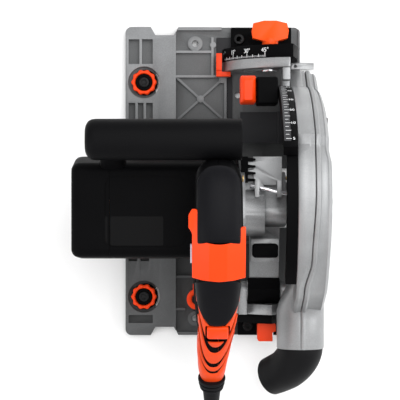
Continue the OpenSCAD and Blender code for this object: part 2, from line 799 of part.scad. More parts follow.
module handle_left_shell() {
    color([0.08, 0.08, 0.09]) intersection() {
        handle_solid();
        block([-60, -250, 60], [handle_x, 60, 280]);
    }
}

module handle_right_shell() {
    color([0.08, 0.08, 0.09]) intersection() {
        handle_solid();
        block([handle_x, -250, 60], [60, 60, 280]);
    }
}

module palm_pad() {
    color([0.17, 0.17, 0.18]) along_x(handle_x - 17, handle_x + 17) polygon([[14, 214], [5, 233], [-20, 240],
        [-53.5, 238.03], [-53.5, 242.5], [-20, 245], [6, 239], [18, 215]]);
}

module handle_collar() {
    color([1, 0.37, 0.13]) difference() {
        along_x(handle_x - 22.7, handle_x + 22.7)
            polygon([[-53.7, 202.5], [-53.7, 242], [-88, 228.5], [-97, 184.5]]);
        handle_form();
    }
}

module rear_grip() {
    color([0.11, 0.11, 0.12]) difference() {
        intersection() {
            along_x(-30, 40) polygon([[-88.2, 227.5], [-128, 200.5], [-136, 158.5], [-97.2, 185]]);
            along_z(80, 260) plan_outline(2.6);
        }
        handle_form();
        button_place() translate([-9.9, -7.4, -16]) cube([19.8, 14.8, 30]);
    }
}

module tail_cover() {
    color([1, 0.4, 0.16]) difference() {
        intersection() {
            along_x(-30, 40) polygon([[-128.2, 200.5], [-159, 171.5], [-183.5, 148], [-183.5, 136],
                [-177, 126], [-160, 121], [-153, 119], [-136.2, 158.5]]);
            along_z(80, 260) plan_outline(2.6);
        }
        handle_form();
        handle_leg();
        button_place() translate([-9.9, -7.4, -16]) cube([19.8, 14.8, 30]);
        guard_place() translate([0, 0, guard_seat]) cylinder(h = 40, r = 30);
        guard_place() translate([0, 0, -14]) cylinder(h = 40, r = guard_stem_r + 0.02);
    }
}

module side_plate() {
    color([0.78, 0.76, 0.82]) block([handle_x - 24.2, -72, 204], [handle_x - 22.7, -56, 224]);
}

module cord_guard() {
    collar_r = 12.3;
    color([0.06, 0.06, 0.07]) guard_place() difference() {
        union() {
            translate([0, 0, -6]) cylinder(h = 12, r = guard_stem_r);
            translate([0, 0, guard_seat]) cylinder(h = 3.5, r = collar_r);
            translate([0, 0, guard_seat]) cylinder(h = 8, r = 10);
            translate([0, 0, guard_seat + 5]) cylinder(h = 3, r = collar_r - 1);
            translate([0, 0, guard_seat + 8]) cylinder(h = guard_len - guard_seat - 8, r1 = 8.2, r2 = 5.5);
        }
        translate([0, 0, -7]) cylinder(h = guard_len + 8, r = cord_d / 2 + run_gap);
    }
}

module trigger() {
    color([0.1, 0.1, 0.11]) along_x(-4, 11) polygon([[-37, 212], [-36.8, 200], [-43, 192], [-50, 191],
        [-53, 199], [-53, 212]]);
}

// Frame of the button on the sloping tail: local z points out of the handle
module button_place() {
    translate([2.8, -134, 190]) rotate([43, 0, 0]) children();
}

module lock_off_button() {
    color([1, 0.36, 0.13]) button_place() {
        translate([-9.5, -7, -7]) cube([19, 14, 12.5]);
    }
}

module latch_rod() {
    color([0.85, 0.86, 0.88]) latch_rod_shape(2, 0, 38.5);
}

module switch_body() {
    color([0.13, 0.13, 0.14]) block([handle_x - 13, -60, 218], [handle_x + 13, -34, 229.5]);
}

module stator() {
    color([0.35, 0.36, 0.38]) difference() {
        rod_x(-80, -22, motor_c, motor_bore_r - 0.02);
        rod_x(-81, -21, motor_c, stator_bore_r);
    }
    color([0.72, 0.4, 0.2]) for (x = [[-88, -80], [-22, -16]]) difference() {
        rod_x(x[0], x[1], motor_c, 29);
        rod_x(x[0] - 1, x[1] + 1, motor_c, stator_bore_r + 2);
    }
}

module brush_holders() {
    color([0.75, 0.6, 0.3]) for (s = [-1, 1]) block([-104, motor_c[0] - 6, motor_c[1] + min(s * 12.4, s * 34.3)],
        [-96, motor_c[0] + 6, motor_c[1] + max(s * 12.4, s * 34.3)]);
}

// Involute flank: angle about the centre at radius r
function involute_angle(base_r, r) = r <= base_r ? 0
    : sqrt(pow(r / base_r, 2) - 1) * 180 / PI - acos(base_r / r);

module gear_outline(teeth_n, tip_r, root_r, turn) {
    pitch_r = gear_module * teeth_n / 2;
    base_r = pitch_r * cos(20);
    backlash = 0.16;
    half_angle = 90 / teeth_n - backlash / pitch_r * 180 / PI + involute_angle(base_r, pitch_r);
    steps = 4;
    start_r = max(base_r, root_r);
    tooth = concat([root_r * [cos(half_angle), -sin(half_angle)]],
        [for (i = [0:steps]) let (r = start_r + (tip_r - start_r) * i / steps,
            a = half_angle - involute_angle(base_r, r)) r * [cos(a), -sin(a)]],
        [for (i = [steps:-1:0]) let (r = start_r + (tip_r - start_r) * i / steps,
            a = half_angle - involute_angle(base_r, r)) r * [cos(a), sin(a)]],
        [root_r * [cos(half_angle), sin(half_angle)]]);
    polygon([for (t = [0:teeth_n - 1], p = tooth) let (b = turn + t * 360 / teeth_n)
        [p[0] * cos(b) - p[1] * sin(b), p[0] * sin(b) + p[1] * cos(b)]]);
}

module motor_shaft() {
    color([0.78, 0.78, 0.8]) {
        rod_x(-119, 47, motor_c, shaft_r - run_gap);
        along_x(47, 61) translate(motor_c)
            gear_outline(pinion_teeth, pinion_tip_r, 3.55, pinion_angle + 180 + 180 / pinion_teeth);
    }
}

module armature_core() {
    slots = 12;
    color([0.42, 0.42, 0.44]) difference() {
        rod_x(-78, -24, motor_c, stator_bore_r - 0.8);
        rod_x(-79, -23, motor_c, shaft_r - 0.02);
        for (i = [0:slots - 1]) translate([-79, motor_c[0], motor_c[1]]) rotate([i * 360 / slots, 0, 0])
            translate([0, -1.2, stator_bore_r - 6]) cube([56, 2.4, 8]);
    }
}

module commutator() {
    color([0.76, 0.45, 0.25]) difference() {
        rod_x(-107, -90, motor_c, 12);
        rod_x(-108, -89, motor_c, shaft_r - 0.02);
    }
}

module cooling_fan() {
    vanes = 12;
    color([0.2, 0.2, 0.22]) difference() {
        union() {
            rod_x(-14, -12, motor_c, 31);
            rod_x(-14, -2, motor_c, 9);
            for (i = [0:vanes - 1]) translate([-13, motor_c[0], motor_c[1]]) rotate([i * 360 / vanes, 0, 0])
                translate([0, -0.8, 8]) cube([9, 1.6, 22]);
        }
        rod_x(-15, 0, motor_c, shaft_r - 0.02);
    }
}

module bearing(x0, x1, c, r_out, r_in) {
    difference() {
        rod_x(x0, x1, c, r_out - 0.01);
        rod_x(x0 - 1, x1 + 1, c, r_in);
    }
}

module bearings() {
    color([0.82, 0.82, 0.84]) {
        bearing(-119, -112, motor_c, small_bearing_r, shaft_r);
        bearing(33, 42, motor_c, bearing_r, shaft_r);
        bearing(38, 45, spindle_c, small_bearing_r, 6);
        bearing(63.5, cover_x1, spindle_c, bearing_r, 8);
    }
}

module drive_gear() {
    color([0.5, 0.5, 0.53]) along_x(48.5, 60) difference() {
        translate(spindle_c) gear_outline(gear_teeth, gear_tip_r, gear_tip_r - 2.2, pinion_angle);
        translate(spindle_c) circle(r = 8 - run_gap);
    }
}

blade_x0 = blade_x - blade_t / 2;
blade_x1 = blade_x + blade_t / 2;
module spindle() {
    color([0.7, 0.7, 0.72]) difference() {
        union() {
            rod_x(38, 47, spindle_c, 6 - run_gap);
            rod_x(46.5, 84, spindle_c, 8 - run_gap);
            rod_x(83, blade_x0, spindle_c, 16);
            rod_x(blade_x0 - 0.5, blade_x1 - 0.3, spindle_c, blade_bore / 2 - 0.02);
        }
        rod_x(70, blade_x1 + 1, spindle_c, 4);
    }
}

module saw_blade() {
    r = blade_d / 2;
    pitch = 360 / teeth;
    color([0.8, 0.81, 0.83]) along_x(blade_x0, blade_x1) translate(spindle_c) difference() {
        polygon([for (t = [0:teeth - 1], k = [0:3])
            let (a = pitch * (t + [0, 0.3, 0.75, 0.98][k]), q = [r, r - 1.6, r - 5, r - 5.6][k])
            q * [cos(a), sin(a)]]);
        circle(r = blade_bore / 2);
        for (i = [0:3]) rotate(i * 90 + 20) translate([r - 17, -0.6]) square([12.5, 1.2]);
        for (i = [0:3]) rotate(i * 90 + 20) translate([r - 17, 0]) circle(r = 2);
    }
}

module blade_flange() {
    color([0.7, 0.7, 0.72]) {
        difference() {
            rod_x(blade_x1, blade_x1 + 2.6, spindle_c, 15);
            rod_x(blade_x1 - 1, blade_x1 + 4, spindle_c, 4);
        }
        translate([blade_x1 + 2.6, spindle_c[0], spindle_c[1]]) rotate([0, 90, 0]) difference() {
            cylinder(h = 5.5, r = 7);
            translate([0, 0, 2]) cylinder(h = 5, r = 3.4, $fn = 6);
        }
        rod_x(73, blade_x1 + 2.61, spindle_c, 3.95);
    }
}

module spindle_lock() {
    color([0.07, 0.07, 0.08]) {
        along_z(112, 124) round_rect([lock_at[0] - 11.7, lock_at[1] - 6.4], [lock_at[0] + 11.7, lock_at[1] + 6.4], 3);
        rod_z(96, 112.5, lock_at, 4);
    }
}

// ---- cord ----------------------------------------------------------------

// Catmull-Rom curve through the route's points, with ends carried on straight
function route_point(p, i, t) = let (n = len(p) - 1,
    a = i > 0 ? p[i - 1] : 2 * p[0] - p[1], b = p[i], c = p[i + 1], d = i + 2 <= n ? p[i + 2] : 2 * p[n] - p[n - 1])
    0.5 * (2 * b + (c - a) * t + (2 * a - 5 * b + 4 * c - d) * t * t + (3 * b - a - 3 * c + d) * t * t * t);
function route(p, k) = concat([for (i = [0:len(p) - 2], j = [0:k - 1]) route_point(p, i, j / k)], [p[len(p) - 1]]);

module cord_tube(points) {
    sides = 10;
    c = route(points, 1);
    n = len(c);
    dir = [for (i = [0:n - 1]) let (v = c[min(i + 1, n - 1)] - c[max(i - 1, 0)]) v / norm(v)];
    rings = [for (i = [0:n - 1], s = [0:sides - 1]) let (u = [1, 0, 0] - dir[i][0] * dir[i],
        x = u / norm(u), y = cross(dir[i], x), a = s * 360 / sides)
        c[i] + cord_d / 2 * (cos(a) * x + sin(a) * y)];
    sidefaces = [for (i = [0:n - 2], s = [0:sides - 1]) let (a = i * sides + s, b = i * sides + (s + 1) % sides)
        [a, a + sides, b + sides, b]];
    polyhedron(rings, concat(sidefaces, [[for (s = [0:sides - 1]) s],
        [for (s = [sides - 1:-1:0]) (n - 1) * sides + s]]), convexity = 4);
}

module cord_upper() { color([0.05, 0.05, 0.06]) cord_tube(cord_upper_pts); }
module cord_lower() { color([0.05, 0.05, 0.06]) cord_tube(cord_lower_pts); }

module cord_coil() {
    across = coil_turns_across * cord_d;
    color([0.05, 0.05, 0.06]) translate([coil_c[0], coil_c[1], 0]) rotate_extrude($fn = 96)
        translate([coil_out_r - across, 0]) square([across, coil_layers * cord_d]);
}

// Two-pin plug lying beside the coil, its boot on the outer turn as it leaves
module plug() {
    pin_half_gap = 9.5;
    color([0.06, 0.06, 0.07]) translate([-32.5, plug_y, 0]) {
        rod_x(0, 35, [0, 8], 5.5);
        along_z(0, 22) polygon([[34, -6], [50, -17], [72, -17], [72, 17], [50, 17], [34, 6]]);
        for (s = [-1, 1]) rod_x(72, 91, [s * pin_half_gap, 11], 2.4);
    }
}

// ---- draw ----------------------------------------------------------------

base_plate();
front_quadrant();
rear_quadrant();
base_screws();
bevel_bolts();
front_bevel_knob();
rear_bevel_knob();
front_rail_knob();
front_rail_cam();
rear_rail_knob();
rear_rail_cam();
tip_stop_knob();
cut_pointer();
blade_case();
case_cover();
case_screws();
front_tilt_arm();
rear_tilt_arm();
depth_scale();
plunge_pin();
plunge_spring();
bevel_stop_lever();
depth_stop_block();
depth_stop_lever();
chip_apron();
dust_elbow();
gear_case();
gear_cover();
housing_screws();
motor_housing();
motor_end_cap();
front_grip();
handle_left_shell();
handle_right_shell();
palm_pad();
handle_collar();
rear_grip();
tail_cover();
side_plate();
cord_guard();
trigger();
lock_off_button();
latch_rod();
switch_body();
stator();
brush_holders();
motor_shaft();
armature_core();
commutator();
cooling_fan();
bearings();
drive_gear();
spindle();
saw_blade();
blade_flange();
spindle_lock();
cord_upper();
cord_lower();
cord_coil();
plug();
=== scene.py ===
"""Track plunge saw: finished housings, castings, grips, scales and cord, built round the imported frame.

Units in the sizes below are millimetres. Origin: centre of the sole, +X blade side, +Y cutting direction.
"""

import json
import math
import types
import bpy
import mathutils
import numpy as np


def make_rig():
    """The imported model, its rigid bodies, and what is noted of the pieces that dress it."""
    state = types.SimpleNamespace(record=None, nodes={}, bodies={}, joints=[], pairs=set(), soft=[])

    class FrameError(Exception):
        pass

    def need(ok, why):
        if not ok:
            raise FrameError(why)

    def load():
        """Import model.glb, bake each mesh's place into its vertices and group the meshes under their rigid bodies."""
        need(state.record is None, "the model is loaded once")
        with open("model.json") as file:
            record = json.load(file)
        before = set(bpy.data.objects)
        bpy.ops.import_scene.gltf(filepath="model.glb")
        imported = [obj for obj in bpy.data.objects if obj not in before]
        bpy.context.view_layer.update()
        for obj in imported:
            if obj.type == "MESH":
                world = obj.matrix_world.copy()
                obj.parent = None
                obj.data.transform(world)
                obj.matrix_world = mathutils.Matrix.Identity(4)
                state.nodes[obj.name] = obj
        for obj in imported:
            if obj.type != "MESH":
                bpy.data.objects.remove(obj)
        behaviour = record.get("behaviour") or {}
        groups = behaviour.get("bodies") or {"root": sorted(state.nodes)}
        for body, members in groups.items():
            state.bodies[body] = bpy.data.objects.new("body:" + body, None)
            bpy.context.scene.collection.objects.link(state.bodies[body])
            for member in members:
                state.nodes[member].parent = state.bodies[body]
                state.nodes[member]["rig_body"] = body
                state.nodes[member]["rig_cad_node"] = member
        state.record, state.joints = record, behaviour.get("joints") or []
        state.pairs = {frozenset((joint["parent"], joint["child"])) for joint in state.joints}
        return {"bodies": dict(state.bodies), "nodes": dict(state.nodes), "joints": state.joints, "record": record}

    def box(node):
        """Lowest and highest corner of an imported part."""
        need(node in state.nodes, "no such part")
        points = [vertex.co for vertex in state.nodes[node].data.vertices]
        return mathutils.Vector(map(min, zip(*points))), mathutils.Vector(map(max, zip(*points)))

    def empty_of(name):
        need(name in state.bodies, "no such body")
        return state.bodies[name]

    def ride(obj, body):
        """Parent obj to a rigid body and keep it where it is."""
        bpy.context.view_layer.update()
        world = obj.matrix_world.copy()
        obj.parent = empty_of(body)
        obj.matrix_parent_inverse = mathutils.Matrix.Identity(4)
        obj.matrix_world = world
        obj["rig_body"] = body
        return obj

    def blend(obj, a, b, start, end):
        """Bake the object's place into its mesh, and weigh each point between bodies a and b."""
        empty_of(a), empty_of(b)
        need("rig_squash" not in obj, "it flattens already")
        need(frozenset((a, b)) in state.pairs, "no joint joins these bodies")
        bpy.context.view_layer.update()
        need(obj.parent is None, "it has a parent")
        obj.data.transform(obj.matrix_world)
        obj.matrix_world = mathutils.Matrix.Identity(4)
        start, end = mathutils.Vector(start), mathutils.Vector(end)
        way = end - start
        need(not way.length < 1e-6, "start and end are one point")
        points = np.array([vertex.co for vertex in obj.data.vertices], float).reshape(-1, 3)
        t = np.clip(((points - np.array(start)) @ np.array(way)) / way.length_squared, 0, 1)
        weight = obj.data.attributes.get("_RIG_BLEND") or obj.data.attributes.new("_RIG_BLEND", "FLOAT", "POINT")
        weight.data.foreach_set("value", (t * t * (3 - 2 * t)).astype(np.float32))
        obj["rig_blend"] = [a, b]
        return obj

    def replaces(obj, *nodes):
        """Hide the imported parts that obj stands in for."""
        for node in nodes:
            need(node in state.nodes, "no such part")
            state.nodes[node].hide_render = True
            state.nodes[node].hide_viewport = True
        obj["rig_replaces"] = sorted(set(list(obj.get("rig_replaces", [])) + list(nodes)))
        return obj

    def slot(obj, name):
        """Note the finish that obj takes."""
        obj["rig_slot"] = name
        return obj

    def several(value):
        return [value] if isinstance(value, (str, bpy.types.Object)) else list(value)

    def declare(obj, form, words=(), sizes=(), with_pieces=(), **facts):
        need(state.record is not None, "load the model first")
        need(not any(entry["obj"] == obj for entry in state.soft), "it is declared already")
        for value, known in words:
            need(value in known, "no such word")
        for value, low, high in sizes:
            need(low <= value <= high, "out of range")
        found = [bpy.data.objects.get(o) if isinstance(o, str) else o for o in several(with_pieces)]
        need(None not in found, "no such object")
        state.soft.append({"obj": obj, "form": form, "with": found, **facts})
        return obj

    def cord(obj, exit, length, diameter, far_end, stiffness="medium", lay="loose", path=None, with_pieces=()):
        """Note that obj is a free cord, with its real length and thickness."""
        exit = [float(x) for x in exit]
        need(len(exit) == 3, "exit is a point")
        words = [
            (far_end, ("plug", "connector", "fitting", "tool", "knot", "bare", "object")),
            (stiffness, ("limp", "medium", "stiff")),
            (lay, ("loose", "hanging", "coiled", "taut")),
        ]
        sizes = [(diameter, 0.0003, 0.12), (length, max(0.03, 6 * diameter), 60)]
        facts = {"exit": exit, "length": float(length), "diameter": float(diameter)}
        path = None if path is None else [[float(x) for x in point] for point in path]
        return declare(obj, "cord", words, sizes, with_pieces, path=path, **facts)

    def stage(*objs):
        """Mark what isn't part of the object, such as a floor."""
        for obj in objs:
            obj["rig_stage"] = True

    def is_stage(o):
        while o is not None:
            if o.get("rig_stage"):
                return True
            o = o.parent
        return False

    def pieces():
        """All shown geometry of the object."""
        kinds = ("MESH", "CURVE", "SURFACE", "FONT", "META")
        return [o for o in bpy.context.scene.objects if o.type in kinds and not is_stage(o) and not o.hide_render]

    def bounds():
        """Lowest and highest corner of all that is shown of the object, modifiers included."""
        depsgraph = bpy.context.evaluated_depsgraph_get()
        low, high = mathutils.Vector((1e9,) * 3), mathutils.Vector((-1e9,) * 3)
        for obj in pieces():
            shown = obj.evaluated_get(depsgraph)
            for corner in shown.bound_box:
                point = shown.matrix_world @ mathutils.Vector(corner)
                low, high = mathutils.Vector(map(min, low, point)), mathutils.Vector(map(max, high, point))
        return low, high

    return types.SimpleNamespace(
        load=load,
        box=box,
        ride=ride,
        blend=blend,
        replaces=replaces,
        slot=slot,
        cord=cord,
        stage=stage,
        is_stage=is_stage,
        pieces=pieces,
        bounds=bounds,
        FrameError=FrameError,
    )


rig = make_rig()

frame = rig.load()
cad_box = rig.bounds()

import bmesh
import bpy
from bpy.props import FloatProperty, FloatVectorProperty, PointerProperty
from mathutils import Matrix, Vector

bl_info = {
    "name": "Track plunge saw",
    "version": (1, 0, 0),
    "blender": (4, 5, 0),
    "location": "3D View > Sidebar > Saw",
    "description": "Builds the saw's finished housings, castings, grips, scales and cord",
    "category": "Object",
}

MM = 0.001
SIZE_FILE = "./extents.json"


# ---- settings a user would change ------------------------------------------


def tone(name, description, default):
    return FloatVectorProperty(
        name=name, description=description, default=default, subtype="COLOR", size=3, min=0.0, max=1.0
    )


class SawColours(bpy.types.PropertyGroup):
    """Base colours of the saw's finishes, as linear values."""

    cast: tone("Cast base", "Shot-blasted die casting of the base", (0.20, 0.205, 0.21))
    silver: tone("Blade case", "Satin silver paint of the blade case", (0.30, 0.305, 0.31))
    gear: tone("Gear case", "Bare die casting of the gear case", (0.30, 0.305, 0.31))
    orange: tone("Orange parts", "Moulded levers, knobs and collar", (0.80, 0.046, 0.002))
    orange_soft: tone("Orange overmould", "Soft cover of the tail", (0.64, 0.052, 0.006))
    black: tone("Black housings", "Glass-filled nylon of the housings", (0.0022, 0.0022, 0.0025))
    soft: tone("Soft grip", "Charcoal overmould of the grips", (0.0038, 0.0038, 0.0050))
    steel: tone("Steel", "Ground steel of shafts and blade", (0.62, 0.62, 0.64))
    print_white: tone("Scale print", "Pad-printed ticks and digits", (0.80, 0.81, 0.82))


class SawSizes(bpy.types.PropertyGroup):
    """Sizes of the surface details, in millimetres."""

    edge: FloatProperty(name="Edge round", description="Radius on moulded edges", default=0.8, min=0.1, max=2)
    cast_edge: FloatProperty(
        name="Casting edge", description="Radius on cast edges", default=0.6, min=0.1, max=2
    )
    seam: FloatProperty(name="Seam", description="Gap between two half shells", default=0.35, min=0.1, max=1)
    tick: FloatProperty(name="Tick width", description="Width of a scale tick", default=0.5, min=0.2, max=1)
    cord: FloatProperty(name="Cord", description="Diameter of the mains cord", default=8, min=5, max=10)


# ---- shader maths ----------------------------------------------------------


class Value:
    """A number, colour or direction that varies over a surface. Operators on a number add Math nodes."""

    def __init__(self, finish, socket):
        self.finish, self.socket = finish, socket

    def _math(self, operation, first, second):
        return self.finish.node("ShaderNodeMath", {"operation": operation}, {0: first, 1: second})

    def __add__(self, other):
        return self._math("ADD", self, other)

    def __mul__(self, other):
        return self._math("MULTIPLY", self, other)

    __radd__, __rmul__ = __add__, __mul__


class Finish:
    """One material, built as a tree of shader nodes."""

    def __init__(self, name):
        self.material = bpy.data.materials.new("finish_" + name)
        self.material.use_nodes = True
        self.tree = self.material.node_tree
        self.tree.nodes.clear()
        self.place = self.node("ShaderNodeTexCoord", {}, {}, "Object")

    def node(self, kind, settings, sockets, output=0):
        """Adds a node: settings first, then the values or links of its sockets. Returns one output."""
        made = self.tree.nodes.new(kind)
        for name, value in settings.items():
            setattr(made, name, value)
        for key, value in sockets.items():
            if isinstance(value, Value):
                self.tree.links.new(value.socket, made.inputs[key])
            elif value is not None:
                made.inputs[key].default_value = value
        return Value(self, made.outputs[output]) if len(made.outputs) else None

    def noise(self, size, detail=3.0, rough=0.5, stretch=None):
        """Noise whose features are about size millimetres across, stretched along an axis if asked."""
        at = self.place
        if stretch:
            at = self.node("ShaderNodeMapping", {}, {"Vector": self.place, "Scale": stretch})
        sockets = {"Vector": at, "Scale": 1 / (size * MM), "Detail": detail, "Roughness": rough}
        return self.node("ShaderNodeTexNoise", {}, sockets)

    def cells(self, size):
        """Distance to the nearest of cells about size millimetres across."""
        sockets = {"Vector": self.place, "Scale": 1 / (size * MM)}
        return self.node("ShaderNodeTexVoronoi", {}, sockets, "Distance")

    def along(self, axis):
        """Place along an axis of the scene, in metres."""
        place = self.node("ShaderNodeNewGeometry", {}, {}, "Position")
        return self.node("ShaderNodeSeparateXYZ", {}, {"Vector": place}, axis)

    def ramp(self, value, low, high):
        """Runs from 0 where value is low to 1 where it is high."""
        return self.node("ShaderNodeMapRange", {}, {"Value": value, "From Min": low, "From Max": high})

    def mix(self, factor, first, second):
        sockets = {0: factor, 6: opaque(first), 7: opaque(second)}
        return self.node("ShaderNodeMix", {"data_type": "RGBA"}, sockets, 2)

    def bump(self, height, depth, after=None):
        """Bump of a height between 0 and 1, depth in millimetres."""
        return self.node("ShaderNodeBump", {}, {"Height": height, "Distance": depth * MM, "Normal": after})

    def surface(self, **sockets):
        """Closes the tree with a Principled shader."""
        named = {key.replace("_", " "): opaque(value) for key, value in sockets.items()}
        shader = self.node("ShaderNodeBsdfPrincipled", {}, named)
        self.node("ShaderNodeOutputMaterial", {}, {"Surface": shader})
        return self.material


def opaque(value):
    return (*value, 1.0) if isinstance(value, tuple) and len(value) == 3 else value


def shade(base, factor):
    return tuple(min(1.0, channel * factor) for channel in base)


# ---- finishes --------------------------------------------------------------

BLACK = (0.0, 0.0, 0.0)
SHADE_FADE_HEIGHT = 4.0  # height over which painted shade on a casting's floor fades out to its full tone
REAR_SHADE_FADE = (20.0, 125.0)  # Y between which a casting goes from its painted rear shade to its full tone


def cast_metal(name, base, metallic, rough, grain, depth, floor=None, rear=None):
    """Shot-blasted or painted casting: fine sparkle, cloudy tone and a pebbled skin.

    If floor is given, shade is painted on the floor: its tone is halved below that height. If rear is given, shade
    is painted toward the rear: the tone falls from the front edge backward to that share of its tone.
    """
    f = Finish(name)
    cloud = f.ramp(f.noise(26, 2), 0.35, 0.65)
    speck = f.ramp(f.noise(grain, 2, 0.7), 0.42, 0.66)
    tint = f.mix(cloud * 0.35 + speck * 0.65, shade(base, 0.8), shade(base, 1.2))
    # Painted shade on the floor: below the floor height the tone is halved, as if the floor lay in shade.
    if floor:
        above = f.ramp(f.along("Z"), floor * MM, (floor + SHADE_FADE_HEIGHT) * MM)
        tint = f.mix(above, f.mix(0.5, tint, BLACK), tint)
    # Painted shade toward the rear: behind the front edge the tone falls to the rear share, as if lit from the front.
    if rear:
        ahead = f.ramp(f.along("Y"), REAR_SHADE_FADE[0] * MM, REAR_SHADE_FADE[1] * MM)
        tint = f.mix(ahead, f.mix(1 - rear, tint, BLACK), tint)
    skin = f.bump(f.noise(grain * 1.6, 2, 0.6), depth)
    return f.surface(Base_Color=tint, Metallic=metallic, Roughness=rough + speck * 0.12, Normal=skin)


def moulded(name, base, rough, grain, depth, variation=0.12, gloss=0.5):
    """Injection moulding with a spark-eroded skin and faint flow clouds."""
    f = Finish(name)
    cloud = f.ramp(f.noise(30, 2), 0.3, 0.7)
    pit = f.cells(grain)
    tint = f.mix(cloud, shade(base, 1 - variation), shade(base, 1 + variation))
    skin = f.bump(f.ramp(pit, 0.1, 0.75), depth)
    return f.surface(
        Base_Color=tint, Roughness=rough + cloud * 0.06 + pit * 0.05, Specular_IOR_Level=gloss, Normal=skin
    )


def soft_rubber(name, base, rough, grain, depth, gloss=0.5):
    """Soft overmould: matt, finely dimpled, with dust in the low spots."""
    f = Finish(name)
    pit = f.ramp(f.cells(grain), 0.15, 0.6)
    dust = f.ramp(f.noise(9, 4, 0.6), 0.5, 0.8)
    tint = f.mix(dust * 0.35, base, shade(base, 1.7))
    return f.surface(
        Base_Color=tint, Roughness=rough + dust * 0.1, Specular_IOR_Level=gloss, Normal=f.bump(pit, depth)
    )


def turned_metal(name, base, rough, stretch, depth=0.01):
    """Ground or drawn metal: fine lines along one axis and a light oil haze."""
    f = Finish(name)
    lines = f.noise(0.5, 4, 0.6, stretch)
    haze = f.ramp(f.noise(12, 3), 0.35, 0.7)
    tint = f.mix(lines, shade(base, 0.82), shade(base, 1.12))
    skin = f.bump(lines, depth)
    return f.surface(Base_Color=tint, Metallic=1.0, Roughness=rough + haze * 0.12 + lines * 0.05, Normal=skin)


def printed(name, base, rough, gloss=0.4):
    """Pad print: slightly uneven ink."""
    f = Finish(name)
    ink = f.ramp(f.noise(0.6, 3, 0.7), 0.3, 0.7)
    tint = f.mix(ink, shade(base, 0.86), shade(base, 1.05))
    return f.surface(Base_Color=tint, Roughness=rough + ink * 0.1, Specular_IOR_Level=gloss)


def laminated(name, base):
    """Stacked sheet steel: fine bands across X."""
    f = Finish(name)
    sockets = {"Vector": f.place, "Scale": 300.0, "Distortion": 0.2}
    sheets = f.node("ShaderNodeTexWave", {"bands_direction": "X"}, sockets, "Fac")
    tint = f.mix(sheets, shade(base, 0.6), shade(base, 1.1))
    rough = sheets * 0.15 + 0.42
    return f.surface(Base_Color=tint, Metallic=0.8, Roughness=rough, Normal=f.bump(sheets, 0.06))


def make_finish(name):
    """Builds the finish with that name from the colours in the panel."""
    c = bpy.context.scene.saw_colours
    black, steel = tuple(c.black), tuple(c.steel)
    # Painted highlight: the wing knob's orange has half again as much green, standing in for the gloss of the light on
    # it.
    wing = (c.orange[0], c.orange[1] * 1.5, c.orange[2])
    makers = {
        # The base casting gets painted shade: half tone below 5.5 mm, and 0.38 of its tone at the rear.
        "cast_base": lambda: cast_metal(name, tuple(c.cast), 0.35, 0.5, 0.7, 0.05, 5.5, 0.38),
        "case_paint": lambda: cast_metal(name, shade(c.silver, 0.95), 0.5, 0.42, 0.55, 0.02),
        "gear_casting": lambda: cast_metal(name, tuple(c.gear), 0.6, 0.4, 0.8, 0.04),
        "orange_moulding": lambda: moulded(name, tuple(c.orange), 0.36, 0.5, 0.012, 0.04, 0.18),
        "orange_wing": lambda: moulded(name, wing, 0.36, 0.5, 0.012, 0.04, 0.18),
        "orange_overmould": lambda: soft_rubber(name, tuple(c.orange_soft), 0.45, 0.6, 0.02, 0.2),
        "black_nylon": lambda: moulded(name, black, 0.46, 0.45, 0.02, gloss=0.025),
        "grip_nylon": lambda: moulded(name, shade(black, 1.4), 0.48, 0.5, 0.02, gloss=0.05),
        "dark_moulding": lambda: moulded(name, shade(black, 8.0), 0.5, 0.5, 0.02, gloss=0.2),
        "black_gloss": lambda: moulded(name, shade(black, 0.8), 0.3, 0.6, 0.004, gloss=0.14),
        "charcoal_grip": lambda: soft_rubber(name, tuple(c.soft), 0.46, 0.55, 0.03, 0.07),
        "black_rubber": lambda: soft_rubber(name, shade(black, 2.0), 0.5, 0.6, 0.03, 0.1),
        "cord_rubber": lambda: soft_rubber(name, shade(black, 2.2), 0.42, 0.8, 0.02, 0.16),
        "ground_steel": lambda: turned_metal(name, steel, 0.24, (1, 8, 8)),
        "bright_steel": lambda: turned_metal(name, shade(steel, 1.15), 0.16, (8, 1, 1)),
        "blade_steel": lambda: turned_metal(name, shade(steel, 0.9), 0.3, (1, 1, 6)),
        "dark_steel": lambda: turned_metal(name, shade(steel, 0.025), 0.38, (3, 3, 1)),
        "hard_steel": lambda: turned_metal(name, shade(steel, 0.5), 0.3, (6, 1, 1)),
        "brass_fitting": lambda: turned_metal(name, (0.62, 0.42, 0.16), 0.3, (5, 1, 1)),
        "copper_segment": lambda: turned_metal(name, (0.72, 0.32, 0.14), 0.32, (1, 9, 9)),
        "iron_stack": lambda: laminated(name, shade(steel, 0.4)),
        "scale_print": lambda: printed(name, tuple(c.print_white), 0.45),
        "scale_band": lambda: printed(name, (0.04, 0.04, 0.043), 0.45, 0.12),
        "label_plate": lambda: printed(name, (0.50, 0.48, 0.56), 0.35),
        "white_nylon": lambda: moulded(name, (0.75, 0.75, 0.75), 0.4, 0.6, 0.01, 0.03),
        "label_film": lambda: printed(name, (0.0035, 0.0035, 0.0038), 0.42, 0.05),
        "floor_paper": lambda: printed(name, (0.92, 0.92, 0.92), 0.8),
    }
    return makers[name]()


def finish(name):
    """The material with that name, built once."""
    return bpy.data.materials.get("finish_" + name) or make_finish(name)


# ---- making meshes, in millimetres -----------------------------------------

CORNER_STEPS = 6  # steps in a quarter turn of a rounded outline
WELD_GAP = 0.004  # points of a frame node nearer than this are one
FLAT_ANGLE = 0.6  # faces of a frame node that meet at less than this, in degrees, are one
LEAST_LEFT = 0.7  # a cut that leaves less than this share of a piece's size has failed


def link(name, mesh):
    made = bpy.data.objects.new(name, mesh)
    bpy.context.scene.collection.objects.link(made)
    return made


